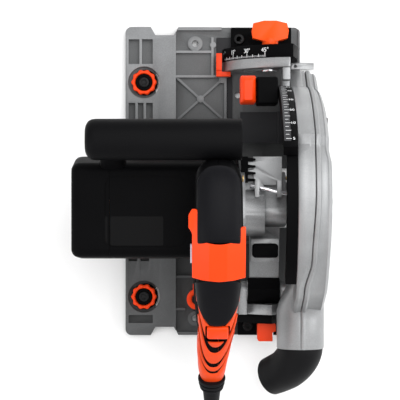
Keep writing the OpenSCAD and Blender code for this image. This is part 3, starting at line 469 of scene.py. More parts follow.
def round_edges(obj, width, angle=32, segments=2):
    """Rounds edges sharper than angle, and shades the rest smooth."""
    obj.data.polygons.foreach_set("use_smooth", [True] * len(obj.data.polygons))
    made = obj.modifiers.new("edges", "BEVEL")
    made.limit_method, made.angle_limit = "ANGLE", math.radians(angle)
    made.width, made.segments = width * MM, segments
    made.harden_normals, made.miter_outer = True, "MITER_ARC"


def put(obj, body, material, slot, replaces=()):
    """Rides the piece on its body, gives it its finish, and lets it stand for its frame nodes."""
    obj.data.materials.clear()
    obj.data.materials.append(finish(material))
    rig.ride(obj, body)
    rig.slot(obj, slot)
    if replaces:
        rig.replaces(obj, *replaces)
    return obj


def mesh_of(points, faces):
    mesh = bpy.data.meshes.new("form")
    mesh.from_pydata([Vector(p) * MM for p in points], [], faces)
    work = bmesh.new()
    work.from_mesh(mesh)
    bmesh.ops.recalc_face_normals(work, faces=work.faces)
    work.to_mesh(mesh)
    work.free()
    return mesh


def rings_mesh(rings, closed=False):
    """Skin over rings of equally many points, with both ends capped, or joined end to end if closed."""
    count, n = len(rings), len(rings[0])
    points = [p for ring in rings for p in ring]
    faces = []
    for i in range(count if closed else count - 1):
        a, b = i * n, (i + 1) % count * n
        faces += [(a + k, a + (k + 1) % n, b + (k + 1) % n, b + k) for k in range(n)]
    if not closed:
        faces += [tuple(range(n)), tuple(range((count - 1) * n, count * n))]
    return mesh_of(points, faces)


def grid_mesh(grids):
    """Closed slab between an outer and an inner grid of points, which are equally large."""
    h, w = len(grids[0]), len(grids[0][0])
    points = [p for grid in grids for row in grid for p in row]
    size = h * w

    def at(layer, i, j):
        return layer * size + i * w + j

    faces = []
    for i in range(h - 1):
        for j in range(w - 1):
            for k in (0, 1):
                quad = (at(k, i, j), at(k, i + 1, j), at(k, i + 1, j + 1), at(k, i, j + 1))
                faces.append(quad if k == 0 else quad[::-1])
    rim = [(0, j) for j in range(w)] + [(i, w - 1) for i in range(1, h)]
    rim += [(h - 1, j) for j in range(w - 2, -1, -1)] + [(i, 0) for i in range(h - 2, 0, -1)]
    for (i, j), (m, n) in zip(rim, rim[1:] + rim[:1]):
        faces.append((at(0, i, j), at(0, m, n), at(1, m, n), at(1, i, j)))
    return mesh_of(points, faces)


def prism(outline, low, high, axis="z"):
    """Outline carried along an axis: (x, y) along z, (y, z) along x or (x, z) along y."""
    place = {
        "x": lambda p, h: (h, p[0], p[1]),
        "y": lambda p, h: (p[0], h, p[1]),
        "z": lambda p, h: (p[0], p[1], h),
    }[axis]
    return rings_mesh([[place(p, h) for p in outline] for h in (low, high)])


def around(count):
    """Angles of count points spaced evenly round a circle."""
    return [math.tau * k / count for k in range(count)]


def superpoint(angle, half_x, half_y, power):
    """Point of a superellipse: power 2 is an ellipse, and higher is squarer."""
    c, s = math.cos(angle), math.sin(angle)
    return (
        half_x * math.copysign(abs(c) ** (2 / power), c),
        half_y * math.copysign(abs(s) ** (2 / power), s),
    )


def lathe(profile, centre, direction, sides=48):
    """Turns (radius, height) pairs about a line through centre.

    The profile is closed on the axis or on itself.
    """
    turn = Vector((0, 0, 1)).rotation_difference(Vector(direction)).to_matrix()
    on_axis = profile[0][0] < 1e-6 and profile[-1][0] < 1e-6
    body = profile[1:-1] if on_axis else profile
    rings = []
    for r, h in body:
        ring = [Vector((r * math.cos(a), r * math.sin(a), h)) for a in around(sides)]
        rings.append([turn @ p + Vector(centre) for p in ring])
    return rings_mesh(rings, closed=not on_axis)


def tube_rings(path, radii, sides, up=(0, 0, 1)):
    """Rings square to a path, with a radius at each of its points."""
    rings, side = [], None
    for i, p in enumerate(path):
        ahead = (path[min(i + 1, len(path) - 1)] - path[max(i - 1, 0)]).normalized()
        side = Vector(up).cross(ahead) if side is None else side - side.dot(ahead) * ahead
        side.normalize()
        over = ahead.cross(side)
        rings.append([p + radii[i] * (math.cos(a) * side + math.sin(a) * over) for a in around(sides)])
    return rings


def join(name, meshes):
    """One object from several meshes."""
    work = bmesh.new()
    for mesh in meshes:
        work.from_mesh(mesh)
        bpy.data.meshes.remove(mesh)
    made = bpy.data.meshes.new(name)
    work.to_mesh(made)
    work.free()
    return link(name, made)


def cut(obj, cutters):
    """Takes the cutters' meshes out of obj for good."""
    for mesh in cutters:
        tool = link("tool", mesh)
        step = obj.modifiers.new("cut", "BOOLEAN")
        step.operation, step.solver, step.object = "DIFFERENCE", "EXACT", tool
        bpy.context.view_layer.update()
        seen = obj.evaluated_get(bpy.context.evaluated_depsgraph_get())
        result = bpy.data.meshes.new_from_object(seen)
        if spread(result) < LEAST_LEFT * spread(obj.data):
            raise RuntimeError("the cut in " + obj.name + " took the piece away")
        obj.modifiers.clear()
        obj.data = result
        bpy.data.objects.remove(tool)


def spread(mesh):
    """Diagonal of a mesh's box."""
    if not mesh.vertices:
        return 0.0
    low, high = (Vector(f(v.co[k] for v in mesh.vertices) for k in range(3)) for f in (min, max))
    return (high - low).length


def curve_point(points, i, t):
    """Point t of the way along span i of a smooth curve through points."""
    last = len(points) - 1
    b, c = points[i], points[i + 1]
    a = points[i - 1] if i else 2 * b - c
    d = points[i + 2] if i + 2 <= last else 2 * c - b
    return 0.5 * (2 * b + (c - a) * t + (2 * a - 5 * b + 4 * c - d) * t * t + (3 * b - a - 3 * c + d) * t**3)


def smooth_line(points, steps):
    """Points of a smooth curve through the given ones."""
    points = [Vector(p) for p in points]
    line = [curve_point(points, i, k / steps) for i in range(len(points) - 1) for k in range(steps)]
    return line + [points[-1]]


def arc(centre, radius, start, stop, steps):
    """Points of an arc, between two angles in degrees."""
    angles = [math.radians(start + (stop - start) * k / steps) for k in range(steps + 1)]
    return [(centre[0] + radius * math.cos(a), centre[1] + radius * math.sin(a)) for a in angles]


def rounded(low, high, r):
    """Rectangle with corners of radius r, anticlockwise."""
    (x0, y0), (x1, y1) = low, high
    corners = [
        ((x1 - r, y0 + r), -90), ((x1 - r, y1 - r), 0), ((x0 + r, y1 - r), 90), ((x0 + r, y0 + r), 180),
    ]
    return [p for centre, a in corners for p in arc(centre, r, a, a + 90, CORNER_STEPS)]


def dress(node, material, edge):
    """Keeps a frame node's own form, with rounded edges and a finish."""
    obj = frame["nodes"][node]
    weld = obj.modifiers.new("weld", "WELD")
    weld.merge_threshold = WELD_GAP * MM
    flat = obj.modifiers.new("flat", "DECIMATE")
    flat.decimate_type, flat.angle_limit = "DISSOLVE", math.radians(FLAT_ANGLE)
    round_edges(obj, edge)
    obj.data.materials.clear()
    obj.data.materials.append(finish(material))


# ---- operators -------------------------------------------------------------


class SawOperator:
    """What every operator of the saw shares."""

    bl_options = {"REGISTER", "UNDO"}

    def execute(self, context):
        self.sizes = context.scene.saw_sizes
        self.build()
        return {"FINISHED"}


class SAW_OT_stage(SawOperator, bpy.types.Operator):
    """Lays the pale floor, hangs the soft lights and sets the camera above the saw"""

    bl_idname = "saw.stage"
    bl_label = "Stage, lights and camera"

    def build(self):
        scene = bpy.context.scene
        scene.view_settings.view_transform = "Standard"
        half = 1.6
        floor = link("floor", bpy.data.meshes.new("floor"))
        corners = [(-half, -half, 0), (half, -half, 0), (half, half, 0), (-half, half, 0)]
        floor.data.from_pydata(corners, [], [(0, 1, 2, 3)])
        floor.data.materials.append(finish("floor_paper"))
        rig.stage(floor)
        world = bpy.data.worlds.new("studio")
        world.use_nodes = True
        world.node_tree.nodes["Background"].inputs["Color"].default_value = (1, 1, 1, 1)
        world.node_tree.nodes["Background"].inputs["Strength"].default_value = 0.95
        scene.world = world
        self.softbox("top_box", (0.25, 0.35, 1.5), (0, 0, 0.1), 1.1, 15)
        self.softbox("blade_side_box", (1.3, 0.1, 0.75), (0.05, 0, 0.12), 0.9, 10)
        self.softbox("motor_side_box", (-1.1, -0.5, 0.9), (-0.05, 0, 0.12), 0.7, 5)
        camera = bpy.data.objects.new("camera", bpy.data.cameras.new("camera"))
        scene.collection.objects.link(camera)
        camera.location = (-0.0125, -0.0185, 1.65)
        camera.data.lens, camera.data.sensor_width = 151.5, 36.0
        camera.data.clip_start, camera.data.clip_end = 0.05, 10
        scene.camera = camera

    def softbox(self, name, place, target, size, watts):
        lamp = bpy.data.lights.new(name, "AREA")
        lamp.shape, lamp.size, lamp.energy = "SQUARE", size, watts
        box = bpy.data.objects.new(name, lamp)
        bpy.context.scene.collection.objects.link(box)
        box.location = place
        box.rotation_mode = "QUATERNION"
        box.rotation_quaternion = (Vector(target) - Vector(place)).to_track_quat("-Z", "Y")


# The cord's route in metres: out of the guard, down behind the handle and onto the coil.
CORD_UPPER = [
    (-0.002, -0.214, 0.114), (-0.002, -0.222, 0.108), (-0.003, -0.231, 0.098), (-0.004, -0.239, 0.087),
    (-0.005, -0.245, 0.075),
]
CORD_LOWER = [
    (-0.005, -0.245, 0.075), (-0.005, -0.250, 0.062), (-0.005, -0.256, 0.049), (-0.005, -0.264, 0.036),
    (-0.005, -0.274, 0.025), (-0.005, -0.289, 0.016), (-0.005, -0.306, 0.012),
]
COIL_CENTRE = (-0.065, -0.306)
COIL_OUTER_R = 0.060
COIL_INNER_R = 0.036
COIL_TURNS_ACROSS = 3


class SAW_OT_cord(SawOperator, bpy.types.Operator):
    """Lays the mains cord from its guard to the coil, with its tie and plug"""

    bl_idname = "saw.cord"
    bl_label = "Mains cord, coil and plug"

    def build(self):
        route = smooth_line(CORD_UPPER[:-1] + CORD_LOWER, 4)
        split = next(i for i, p in enumerate(route) if p.z < 0.0495)
        upper, lower = route[: split + 1], route[split:]
        coil = self.coil_line()
        flex = self.strand("cord_upper_flex", upper, ("cord_upper",))
        fall = self.strand("cord_lower_flex", lower, ("cord_lower",))
        wound = self.strand("cord_wound", coil, ("cord_coil",))
        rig.blend(flex, "saw_unit", "tilt_unit", upper[0], upper[-1])
        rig.blend(fall, "tilt_unit", "base", lower[0], lower[-1])
        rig.ride(wound, "base")
        tie = self.tie()
        plug = self.plug()
        self.declare(flex, upper, "object")
        self.declare(fall, lower, "object")
        self.declare(wound, coil, "plug", (tie, plug))

    def strand(self, name, line, nodes):
        radius = self.sizes.cord / 2
        points = [p / MM for p in line]
        rings = tube_rings(points, [radius] * len(points), 16, (1, 0, 0))
        made = link(name, rings_mesh(rings))
        made.data.name = name
        made.data.polygons.foreach_set("use_smooth", [True] * len(made.data.polygons))
        made.data.materials.append(finish("cord_rubber"))
        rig.slot(made, "cord_black")
        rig.replaces(made, *nodes)
        return made

    def declare(self, piece, line, far_end, pieces=()):
        length = sum((b - a).length for a, b in zip(line, line[1:]))
        lay = "coiled" if pieces else "loose"
        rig.cord(
            piece, exit=line[0], length=length, diameter=self.sizes.cord * MM, far_end=far_end,
            stiffness="medium", lay=lay, path=line, with_pieces=pieces,
        )

    def coil_line(self):
        """Three turns inward on top, half a turn down, three and a quarter outward, then off to the plug."""
        cord = self.sizes.cord * MM
        top, low = 1.5 * cord, 0.5 * cord
        inward, drop, extra = COIL_TURNS_ACROSS, 0.5, 0.25
        total = 2 * inward + drop + extra
        pitch = (COIL_OUTER_R - COIL_INNER_R) / COIL_TURNS_ACROSS
        steps_per_turn = 40
        line = []
        for k in range(int(total * steps_per_turn) + 1):
            turn = k / steps_per_turn
            if turn < inward:
                radius, height = COIL_OUTER_R - pitch * turn, top
            elif turn < inward + drop:
                share = (turn - inward) / drop
                eased = share * share * (3 - 2 * share)
                radius, height = COIL_INNER_R, top + (low - top) * eased
            else:
                radius, height = COIL_INNER_R + pitch * (turn - inward - drop), low
            angle = -math.tau * turn
            x = COIL_CENTRE[0] + radius * math.cos(angle)
            y = COIL_CENTRE[1] + radius * math.sin(angle)
            line.append(Vector((x, y, height)))
        end = line[-1]
        lead_x, lead_y, lead_rise = 0.034, -0.0015, 0.004
        for share in (0.25, 0.5, 0.75, 1.0):
            rise = lead_rise * share * share * (3 - 2 * share)
            line.append(end + Vector((lead_x * share, lead_y * share, rise)))
        return line

    def tie(self):
        """Releasable strap round the coil's bundle."""
        x, y = COIL_CENTRE[0] / MM, COIL_CENTRE[1] / MM
        middle = (COIL_OUTER_R + COIL_INNER_R) / 2 / MM
        half_w, high = 16.6, 16.4
        rings = []
        for a in (-84, -88, -92, -96):
            turn = math.radians(a)
            out = Vector((math.cos(turn), math.sin(turn), 0))
            ring = rounded((-half_w, 0.05), (half_w, high), 5)
            rings.append([Vector((x, y, 0)) + out * (middle + p[0]) + Vector((0, 0, p[1])) for p in ring])
        strap = join("cord_tie", [rings_mesh(rings)])
        round_edges(strap, 0.4)
        return put(strap, "base", "black_nylon", "black_plastic")

    def plug(self):
        """Two-pin plug with a ribbed boot, lying beside the coil."""
        low, high = (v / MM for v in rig.box("plug"))
        y, x0 = (low.y + high.y) / 2, low.x
        sleeve = lathe([(0, x0 + 1), (5.0, x0 + 1), (5.5, x0 + 35), (0, x0 + 35)], (0, y, 8), (1, 0, 0))
        rib = [(0, 0), (5.6, 0), (6.5, 0.6), (6.5, 1.8), (5.6, 2.4), (0, 2.4)]
        ribs = [lathe(rib, (x0 + 4 + 4.4 * k, y, 8), (1, 0, 0)) for k in range(6)]
        # Distance along the plug, half width, half height, and height of the middle.
        stations = [
            (33, 5.5, 6.0, 8), (40, 8, 7.4, 9.4), (48, 14.5, 9.6, 10.6), (54, 16.6, 10.6, 11),
            (64, 17, 11, 11), (70, 17, 10.9, 11), (72, 16.2, 10.2, 11),
        ]
        rings = []
        for at, half_w, half_h, z in stations:
            outline = [superpoint(a, half_w, half_h, 3.2) for a in around(36)]
            rings.append([(x0 + at, y + p[0], z + p[1]) for p in outline])
        grips = []
        for k in range(4):
            x = x0 + 55 + 4 * k
            grips.append(prism(rounded((x, y - 17.4), (x + 2, y + 17.4), 0.8), 7.5, 14.5))
        body = join("mains_plug_body", [rings_mesh(rings), sleeve] + ribs + grips)
        round_edges(body, 0.4, 40)
        put(body, "base", "black_nylon", "cord_black", ("plug",))
        pin = [(0, 0), (2.4, 0), (2.4, 16.5), (1.5, 19), (0, 19)]
        pair = [lathe(pin, (x0 + 72, y + side * 9.5, 11), (1, 0, 0), 32) for side in (-1, 1)]
        pins = join("mains_plug_pins", pair)
        round_edges(pins, 0.2)
        put(pins, "base", "bright_steel", "steel")
        return body


BASE_FLOOR = 4.5  # height of the casting's floor


class SAW_OT_base(SawOperator, bpy.types.Operator):
    """Finishes the die-cast base, its quadrants, screws, pointer and bevel stop"""

    bl_idname = "saw.base"
    bl_label = "Base and quadrants"

    def build(self):
        cast, edge = self.sizes.cast_edge, self.sizes.edge
        dress("base_plate", "cast_base", cast)
        dress("front_quadrant", "black_nylon", 0.5)
        dress("rear_quadrant", "black_nylon", 0.5)
        dress("base_screws", "dark_steel", 0.2)
        dress("bevel_bolts", "bright_steel", 0.2)
        dress("cut_pointer", "gear_casting", 0.3)
        dress("bevel_stop_lever", "orange_moulding", edge)
        # The wing knob's yellower orange is a painted highlight.
        dress("front_bevel_knob", "orange_wing", 1.6)
        self.rear_lever()
        dress("tip_stop_knob", "orange_moulding", 0.5)
        # Two dark strips on the casting's floor: painted shade beside the quadrant, not real parts.
        self.strip("base_side_strip", (13.6, 61), (19.0, 104), 1.4)
        self.strip("quadrant_skirt", (3.6, 124.5), (19.0, 140), 2.0)
        dress("front_tilt_arm", "gear_casting", cast)
        dress("rear_tilt_arm", "gear_casting", cast)

    def rear_lever(self):
        """Square-ended lever on the rear clamp bolt, stepped back beside it."""
        low, high = (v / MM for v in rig.box("rear_bevel_knob"))
        x, z = BEVEL_CLAMP
        bar = prism(rounded((x - 12.2, low.y + 0.2), (x + 5.2, high.y - 0.2), 2.2), z - 7, z + 7)
        lever = join("rear_clamp_lever", [bar])
        bore = lathe([(0, -1), (3.3, -1), (3.3, 14), (0, 14)], (x, high.y, z), (0, -1, 0))
        step = [(x + 2.2, low.y - 1), (x + 9, low.y - 1), (x + 9, high.y - 6.2), (x + 2.2, high.y - 9)]
        cut(lever, [bore, prism(step, z - 9, z + 9)])
        round_edges(lever, 1.1, 40, 3)
        put(lever, "rear_bevel_knob", "orange_moulding", "orange", ("rear_bevel_knob",))

    def strip(self, name, low, high, thick):
        """Thin dark strip lying on the floor of the casting: painted shade, where the floor is in shade."""
        strip = join(name, [prism(rounded(low, high, 1.0), BASE_FLOOR - 0.05, BASE_FLOOR + thick)])
        round_edges(strip, 0.3)
        put(strip, "base", "dark_moulding", "black_plastic")


class SAW_OT_rail_knobs(SawOperator, bpy.types.Operator):
    """Makes the two lobed rail clamp knobs and their shims, and finishes their cams"""

    bl_idname = "saw.rail_knobs"
    bl_label = "Rail clamp knobs"

    radius, lobe_depth = 12.4, 0.75
    # The knob's outside, down into its hollow: share of the radius, and height.
    outside = ((0.9, 8.0), (1.0, 8.8), (1.0, 13.2), (0.96, 14.4), (0.9, 15.0), (0.74, 15.0), (0.7, 14.4))

    def build(self):
        for place in ("front", "rear"):
            low, high = (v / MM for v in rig.box(place + "_rail_knob"))
            x, y = (low.x + high.x) / 2, (low.y + high.y) / 2
            body = place + "_rail_knob"
            dress(place + "_rail_cam", "black_nylon", 0.3)
            rings = []
            for share, z in self.outside:
                depth = self.lobe_depth if share > 0.85 else 0.0
                rings.append(self.lobed(x, y, self.radius * share, depth, z))
            rings.append(self.lobed(x, y, 8.3, 0, 13.4))
            rings.append(self.lobed(x, y, 8.3, 0, 8.0))
            ring = join(place + "_knob_ring", [rings_mesh(rings, closed=True)])
            round_edges(ring, 0.3, 40)
            put(ring, body, "orange_moulding", "orange", (place + "_rail_knob",))
            outer = arc((x, y), 15.2, -42, 42, 18)
            inner = arc((x + 1.2, y), 13.1, 36, -36, 18)
            crescent = join(place + "_knob_shim", [prism(outer + inner, BASE_FLOOR, 5.6)])
            round_edges(crescent, 0.2)
            put(crescent, "base", "white_nylon", "label_grey")

    def lobed(self, x, y, radius, depth, z):
        """Ring with ten lobes, or a round one if depth is 0."""
        ring = []
        for a in around(120):
            r = radius - depth * (1 - math.cos(10 * a)) / 1.2
            ring.append((x + r * math.cos(a), y + r * math.sin(a), z))
        return ring


BEVEL_AXIS = (88.5, 0.0)  # X, Z
BEVEL_CLAMP = (54.085, 49.149)  # X, Z of the rear clamp bolt
BEVEL_ZERO = 15.0  # degrees above the sole where the bevel scale starts
PIVOT = (-104.0, 56.0)  # Y, Z of the plunge pin
PRINT_THICK = 0.06
DEPTH_TICKS = 23
# Degrees round the plunge pin, and the digits there.
DEPTH_MARKS = ((44, "5"), (37.45, "10"), (30.9, "20"), (24.35, "30"), (16.2, "40"), (9.6, "50"))


class SAW_OT_scales(SawOperator, bpy.types.Operator):
    """Prints the bevel and cutting depth scales"""

    bl_idname = "saw.scales"
    bl_label = "Bevel and depth scales"

    def build(self):
        dress("depth_scale", "black_nylon", 0.4)
        self.bevel_scale()
        self.depth_scale()

    def bevel_scale(self):
        radius, rear, half_tick = 80.05, 115.9, self.sizes.tick / 2
        meshes = []

        def place(u, v, w):
            phi = math.radians(BEVEL_ZERO) + u / radius
            r = radius + w
            return (BEVEL_AXIS[0] - r * math.cos(phi), v, r * math.sin(phi))

        for degree in range(0, 50, 5):
            long = 4.4 if degree % 15 == 0 else 3.0
            at = math.radians(degree) * radius
            meshes.append(self.patch(place, at - half_tick, at + half_tick, rear + 0.3, rear + long))
        for degree in range(46):
            at = math.radians(degree) * radius
            meshes.append(self.patch(place, at - 0.12, at + 0.12, rear + 0.3, rear + 1.8))
        for degree in (0, 15, 30, 45):
            at = math.radians(degree) * radius
            meshes.append(self.digits(str(degree) + "\u00b0", 4.0, place, at, rear + 6.6))
        scale = join("bevel_scale_print", meshes)
        put(scale, "base", "scale_print", "label_grey")
        band = join("bevel_scale_band", [self.patch(place, -1, 64, rear + 0.05, rear + 1.7, 0.02)])
        put(band, "base", "scale_band", "black_plastic")

    def depth_scale(self):
        radius = 193.05
        meshes = []

        def place(u, v, w):
            theta = v / radius
            r = radius + w
            return (u, PIVOT[0] + r * math.cos(theta), PIVOT[1] + r * math.sin(theta))

        first, last = math.radians(8) * radius, math.radians(44) * radius
        step = (last - first) / (DEPTH_TICKS - 1)
        for k in range(DEPTH_TICKS):
            at = first + step * k
            long = 4.8 if k % 2 == 0 else 3.0
            meshes.append(self.patch(place, 62.2, 62.2 + long, at - 0.24, at + 0.24))
        for angle, text in DEPTH_MARKS:
            meshes.append(self.digits(text, 3.2, place, 69.2, math.radians(angle) * radius, True))
        scale = join("depth_scale_print", meshes)
        put(scale, "tilt_unit", "scale_print", "label_grey")
        band = join("depth_scale_band", [self.patch(place, 60.6, 66.6, first - 3, last + 3, 0.02)])
        put(band, "tilt_unit", "scale_band", "black_plastic")

    def patch(self, place, u0, u1, v0, v1, thick=PRINT_THICK):
        """Thin rectangle of print laid on a curved surface."""
        steps_u, steps_v = max(1, int((u1 - u0) / 2)), max(1, int((v1 - v0) / 2))
        grids = []
        for w in (thick, -0.3):
            rows = []
            for j in range(steps_v + 1):
                v = v0 + (v1 - v0) * j / steps_v
                rows.append([place(u0 + (u1 - u0) * i / steps_u, v, w) for i in range(steps_u + 1)])
            grids.append(rows)
        return grid_mesh(grids)

    def digits(self, text, height, place, u, v, flip=False):
        """Digits centred on (u, v), reading along u, with their tops toward +v, or -v if flipped."""
        curve = bpy.data.curves.new("digits", "FONT")
        curve.body, curve.size = text, height / 0.7
        curve.align_x, curve.align_y = "CENTER", "CENTER"
        curve.extrude = PRINT_THICK
        glyph = bpy.data.objects.new("digits", curve)
        bpy.context.scene.collection.objects.link(glyph)
        bpy.context.view_layer.update()
        seen = glyph.evaluated_get(bpy.context.evaluated_depsgraph_get())
        mesh = bpy.data.meshes.new_from_object(seen)
        bpy.data.objects.remove(glyph)
        side = -1 if flip else 1
        for vertex in mesh.vertices:
            x, y, z = vertex.co
            vertex.co = Vector(place(u + x, v + side * y, z)) * MM
        if flip:
            mesh.flip_normals()
        return mesh


class SAW_OT_depth_stop(SawOperator, bpy.types.Operator):
    """Makes the depth stop block and its lever, and finishes the chip apron and the latch rod"""

    bl_idname = "saw.depth_stop"
    bl_label = "Depth stop"

    def build(self):
        low, high = (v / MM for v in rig.box("depth_stop_block"))
        rings = []
        for z, grow in ((low.z - 1, -1), (low.z + 1, 0), (high.z - 1, 0), (high.z + 1.5, -1.6)):
            outline = rounded((39.6 - grow, 69.5 - grow), (59.5, 95.5 + grow), 2)
            rings.append([(p[0], p[1], z) for p in outline])
        block = join("depth_stop_cover", [rings_mesh(rings)])
        round_edges(block, self.sizes.edge)
        put(block, "depth_stop", "black_nylon", "black_plastic", ("depth_stop_block",))
        low, high = (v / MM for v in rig.box("depth_stop_lever"))
        layers = (
            (low.z, -1, 0), (low.z + 1.5, 0, 0), (high.z - 2, 0, 0), (high.z + 0.5, -1, 0),
            (high.z + 3, -3.4, -0.8),
        )
        rings = []
        for z, grow, lean in layers:
            outline = rounded((24.8 - grow, 71.0 - grow + lean), (39.2 + grow, 96.5 + grow + lean), 1.8)
            rings.append([(p[0], p[1], z) for p in outline])
        lever = join("depth_stop_wing", [rings_mesh(rings)])
        round_edges(lever, 0.7)
        put(lever, "depth_lever", "orange_moulding", "orange", ("depth_stop_lever",))
        dress("chip_apron", "dark_moulding", 0.4)
        dress("latch_rod", "bright_steel", 0.2)


class SAW_OT_gear_head(SawOperator, bpy.types.Operator):
    """Finishes the gear head castings, screws, spindle lock and pivot"""

    bl_idname = "saw.gear_head"
    bl_label = "Gear head"

    def build(self):
        dress("gear_case", "gear_casting", self.sizes.cast_edge)
        dress("gear_cover", "gear_casting", self.sizes.cast_edge)
        dress("housing_screws", "brass_fitting", 0.2)
        dress("spindle_lock", "black_nylon", 1.0)
        dress("plunge_pin", "bright_steel", 0.4)
        self.comb()
        self.pivot_sleeve()
        self.pivot_lip()
        dress("plunge_spring", "ground_steel", 0.15)

    def comb(self):
        """Four-toothed guide for the latch rod, on top of the gear case."""
        outline = [(24.6, -3.0), (31.0, -3.0)]
        for k in range(4):
            y = -2.0 + 6.2 * k
            outline += [(31.0, y), (37.5, y + 0.6), (38.2, y + 1.6), (37.5, y + 2.6), (31.0, y + 3.2)]
        outline += [(31.0, 21.0), (24.6, 21.0)]
        comb = join("latch_comb", [prism(outline, 120.5, 124.5)])
        round_edges(comb, 0.4)
        put(comb, "saw_unit", "black_nylon", "black_plastic")

    def pivot_sleeve(self):
        """Moulded sleeve round the plunge pivot's hub."""
        y, z = PIVOT
        profile = [(11.4, 0), (12.4, 0.6), (12.4, 29.6), (11.4, 30.2), (11.0, 30.2), (11.0, 0)]
        sleeve = join("pivot_sleeve", [lathe(profile, (32.5, y, z), (1, 0, 0), 72)])
        round_edges(sleeve, 0.3)
        put(sleeve, "saw_unit", "black_nylon", "black_plastic")

    def pivot_lip(self):
        """Lip that slopes forward and up from the top of the sleeve."""
        side = [(-102, 66.9), (-91.5, 71.7), (-91.5, 73.2), (-102, 68.4)]
        lip = join("pivot_lip", [prism(side, 33.6, 61.6, "x")])
        round_edges(lip, 0.4)
        put(lip, "saw_unit", "black_nylon", "black_plastic")


class SAW_OT_drive(SawOperator, bpy.types.Operator):
    """Finishes the motor's inside, the gears, the spindle and the blade"""

    bl_idname = "saw.drive"
    bl_label = "Motor, gears and blade"

    finishes = {
        "switch_body": "black_nylon", "stator": "iron_stack", "brush_holders": "brass_fitting",
        "motor_shaft": "ground_steel", "armature_core": "iron_stack", "commutator": "copper_segment",
        "cooling_fan": "black_gloss", "bearings": "bright_steel", "drive_gear": "hard_steel",
        "spindle": "ground_steel", "saw_blade": "blade_steel", "blade_flange": "hard_steel",
    }

    def build(self):
        for node, material in self.finishes.items():
            dress(node, material, 0.15)


MOTOR_AXIS = (-29.92, 115.39)  # Y, Z
LABEL_Z = 157.2  # floor of the label recess
# The circles the housing is stretched round: centre from the motor's axis, and radius.
MOTOR_CIRCLES = (((0, 0), 37), ((-31, 34), 9), ((36, 34), 9), ((-33, -2), 9), ((42, 2), 9))


def motor_ring(x, grow, sides=120):
    """Section of the motor housing at x: the skin stretched round five circles."""
    ring = []
    for a in around(sides):
        ahead = Vector((math.cos(a), math.sin(a)))
        circle, radius = max(MOTOR_CIRCLES, key=lambda c: Vector(c[0]).dot(ahead) + c[1])
        at = Vector(MOTOR_AXIS) + Vector(circle) + ahead * (radius + grow)
        ring.append((x, at.x, at.y))
    return ring


class SAW_OT_motor(SawOperator, bpy.types.Operator):
    """Makes the motor housing, its end cap with vents, the blank label films and the front grip"""

    bl_idname = "saw.motor"
    bl_label = "Motor housing and front grip"

    def build(self):
        seam = self.sizes.seam / 3
        split, front, back = -93.0, 22.0, -127.0
        wall = 2.6
        shell = join("motor_shell", [self.loft([(split + seam, 0), (front - 1.4, 0), (front, -1.4)])])
        cut(shell, [self.loft([(split - 2, -wall), (front + 2, -wall)])])
        recess = rounded((split - 4, -60.5), (-24.0, 2.7), 9)
        cut(shell, [prism(recess, LABEL_Z, 162)])
        for k in range(7):
            y = -44 + 6.5 * k
            cut(shell, [prism(rounded((-2, y), (16, y + 2.6), 1.2), 60, 84)])
        round_edges(shell, 0.7, 40)
        put(shell, "saw_unit", "black_nylon", "black_plastic", ("motor_housing",))
        outside = [
            (back, -5.5), (back + 1.2, -3), (back + 3.4, -1), (back + 6, -0.2), (back + 9, 0),
            (split - seam, 0),
        ]
        inside = [(back + wall, -8.5), (back + 6, -1.5 - wall), (back + 10, -wall), (split + 2, -wall)]
        cap = join("motor_cap", [self.loft(outside)])
        cut(cap, [self.loft(inside)])
        cut(cap, [prism(recess, LABEL_Z, 162)])
        for k in range(9):
            y = -58 + 7 * k
            cut(cap, [prism(rounded((y, 92), (y + 3, 134), 1.4), back - 1, back + 6, "x")])
        round_edges(cap, 0.7, 40)
        put(cap, "saw_unit", "black_nylon", "black_plastic", ("motor_end_cap",))
        self.labels()
        self.front_grip()

    def loft(self, stations):
        return rings_mesh([motor_ring(x, grow) for x, grow in stations])

    def labels(self):
        for name, x0, x1 in (("rating_film_rear", -112.5, -94.5), ("rating_film_front", -92.0, -45.0)):
            outline = rounded((x0, -59.0), (x1, -33.0), 1.5)
            film = join(name, [prism(outline, LABEL_Z - 0.3, LABEL_Z + 0.15)])
            round_edges(film, 0.1)
            put(film, "saw_unit", "label_film", "black_plastic")

    def front_grip(self):
        """Bar across the front, on two necks that rise from the housing."""
        y, z, left, right = 34.0, 190.0, -112.0, 24.0
        stations = [
            (left, 10.5), (left + 0.8, 13.2), (left + 2.6, 15.8), (left + 5.4, 17.5), (left + 9, 18.0),
            (right - 26, 18.0), (right - 24, 18.15), (right - 0.8, 18.15), (right, 17.4),
        ]
        rings = []
        for x, r in stations:
            rings.append([(x, y + p[0], z + p[1]) for p in (superpoint(a, r, r, 2.3) for a in around(64))])
        # A neck's sections from the bottom up: middle Y and Z, half depth, and growth in half width.
        sections = ((13, 148, 7, 2), (16, 159, 8, 1), (22, 171, 10, 0), (29, 183, 12, -1))
        necks = []
        for x0, x1 in ((-100, -80), (-8, 18)):
            neck = []
            for neck_y, neck_z, half_depth, grow in sections:
                outline = [superpoint(a, (x1 - x0) / 2 + grow, half_depth, 3.2) for a in around(48)]
                neck.append([((x0 + x1) / 2 + u, neck_y + v * 0.8, neck_z - v * 0.6) for u, v in outline])
            necks.append(rings_mesh(neck))
        grip = join("front_grip_cover", [rings_mesh(rings)] + necks)
        round_edges(grip, 0.8, 40)
        put(grip, "saw_unit", "grip_nylon", "soft_grip", ("front_grip",))


# ---- handle ------------------------------------------------------------------

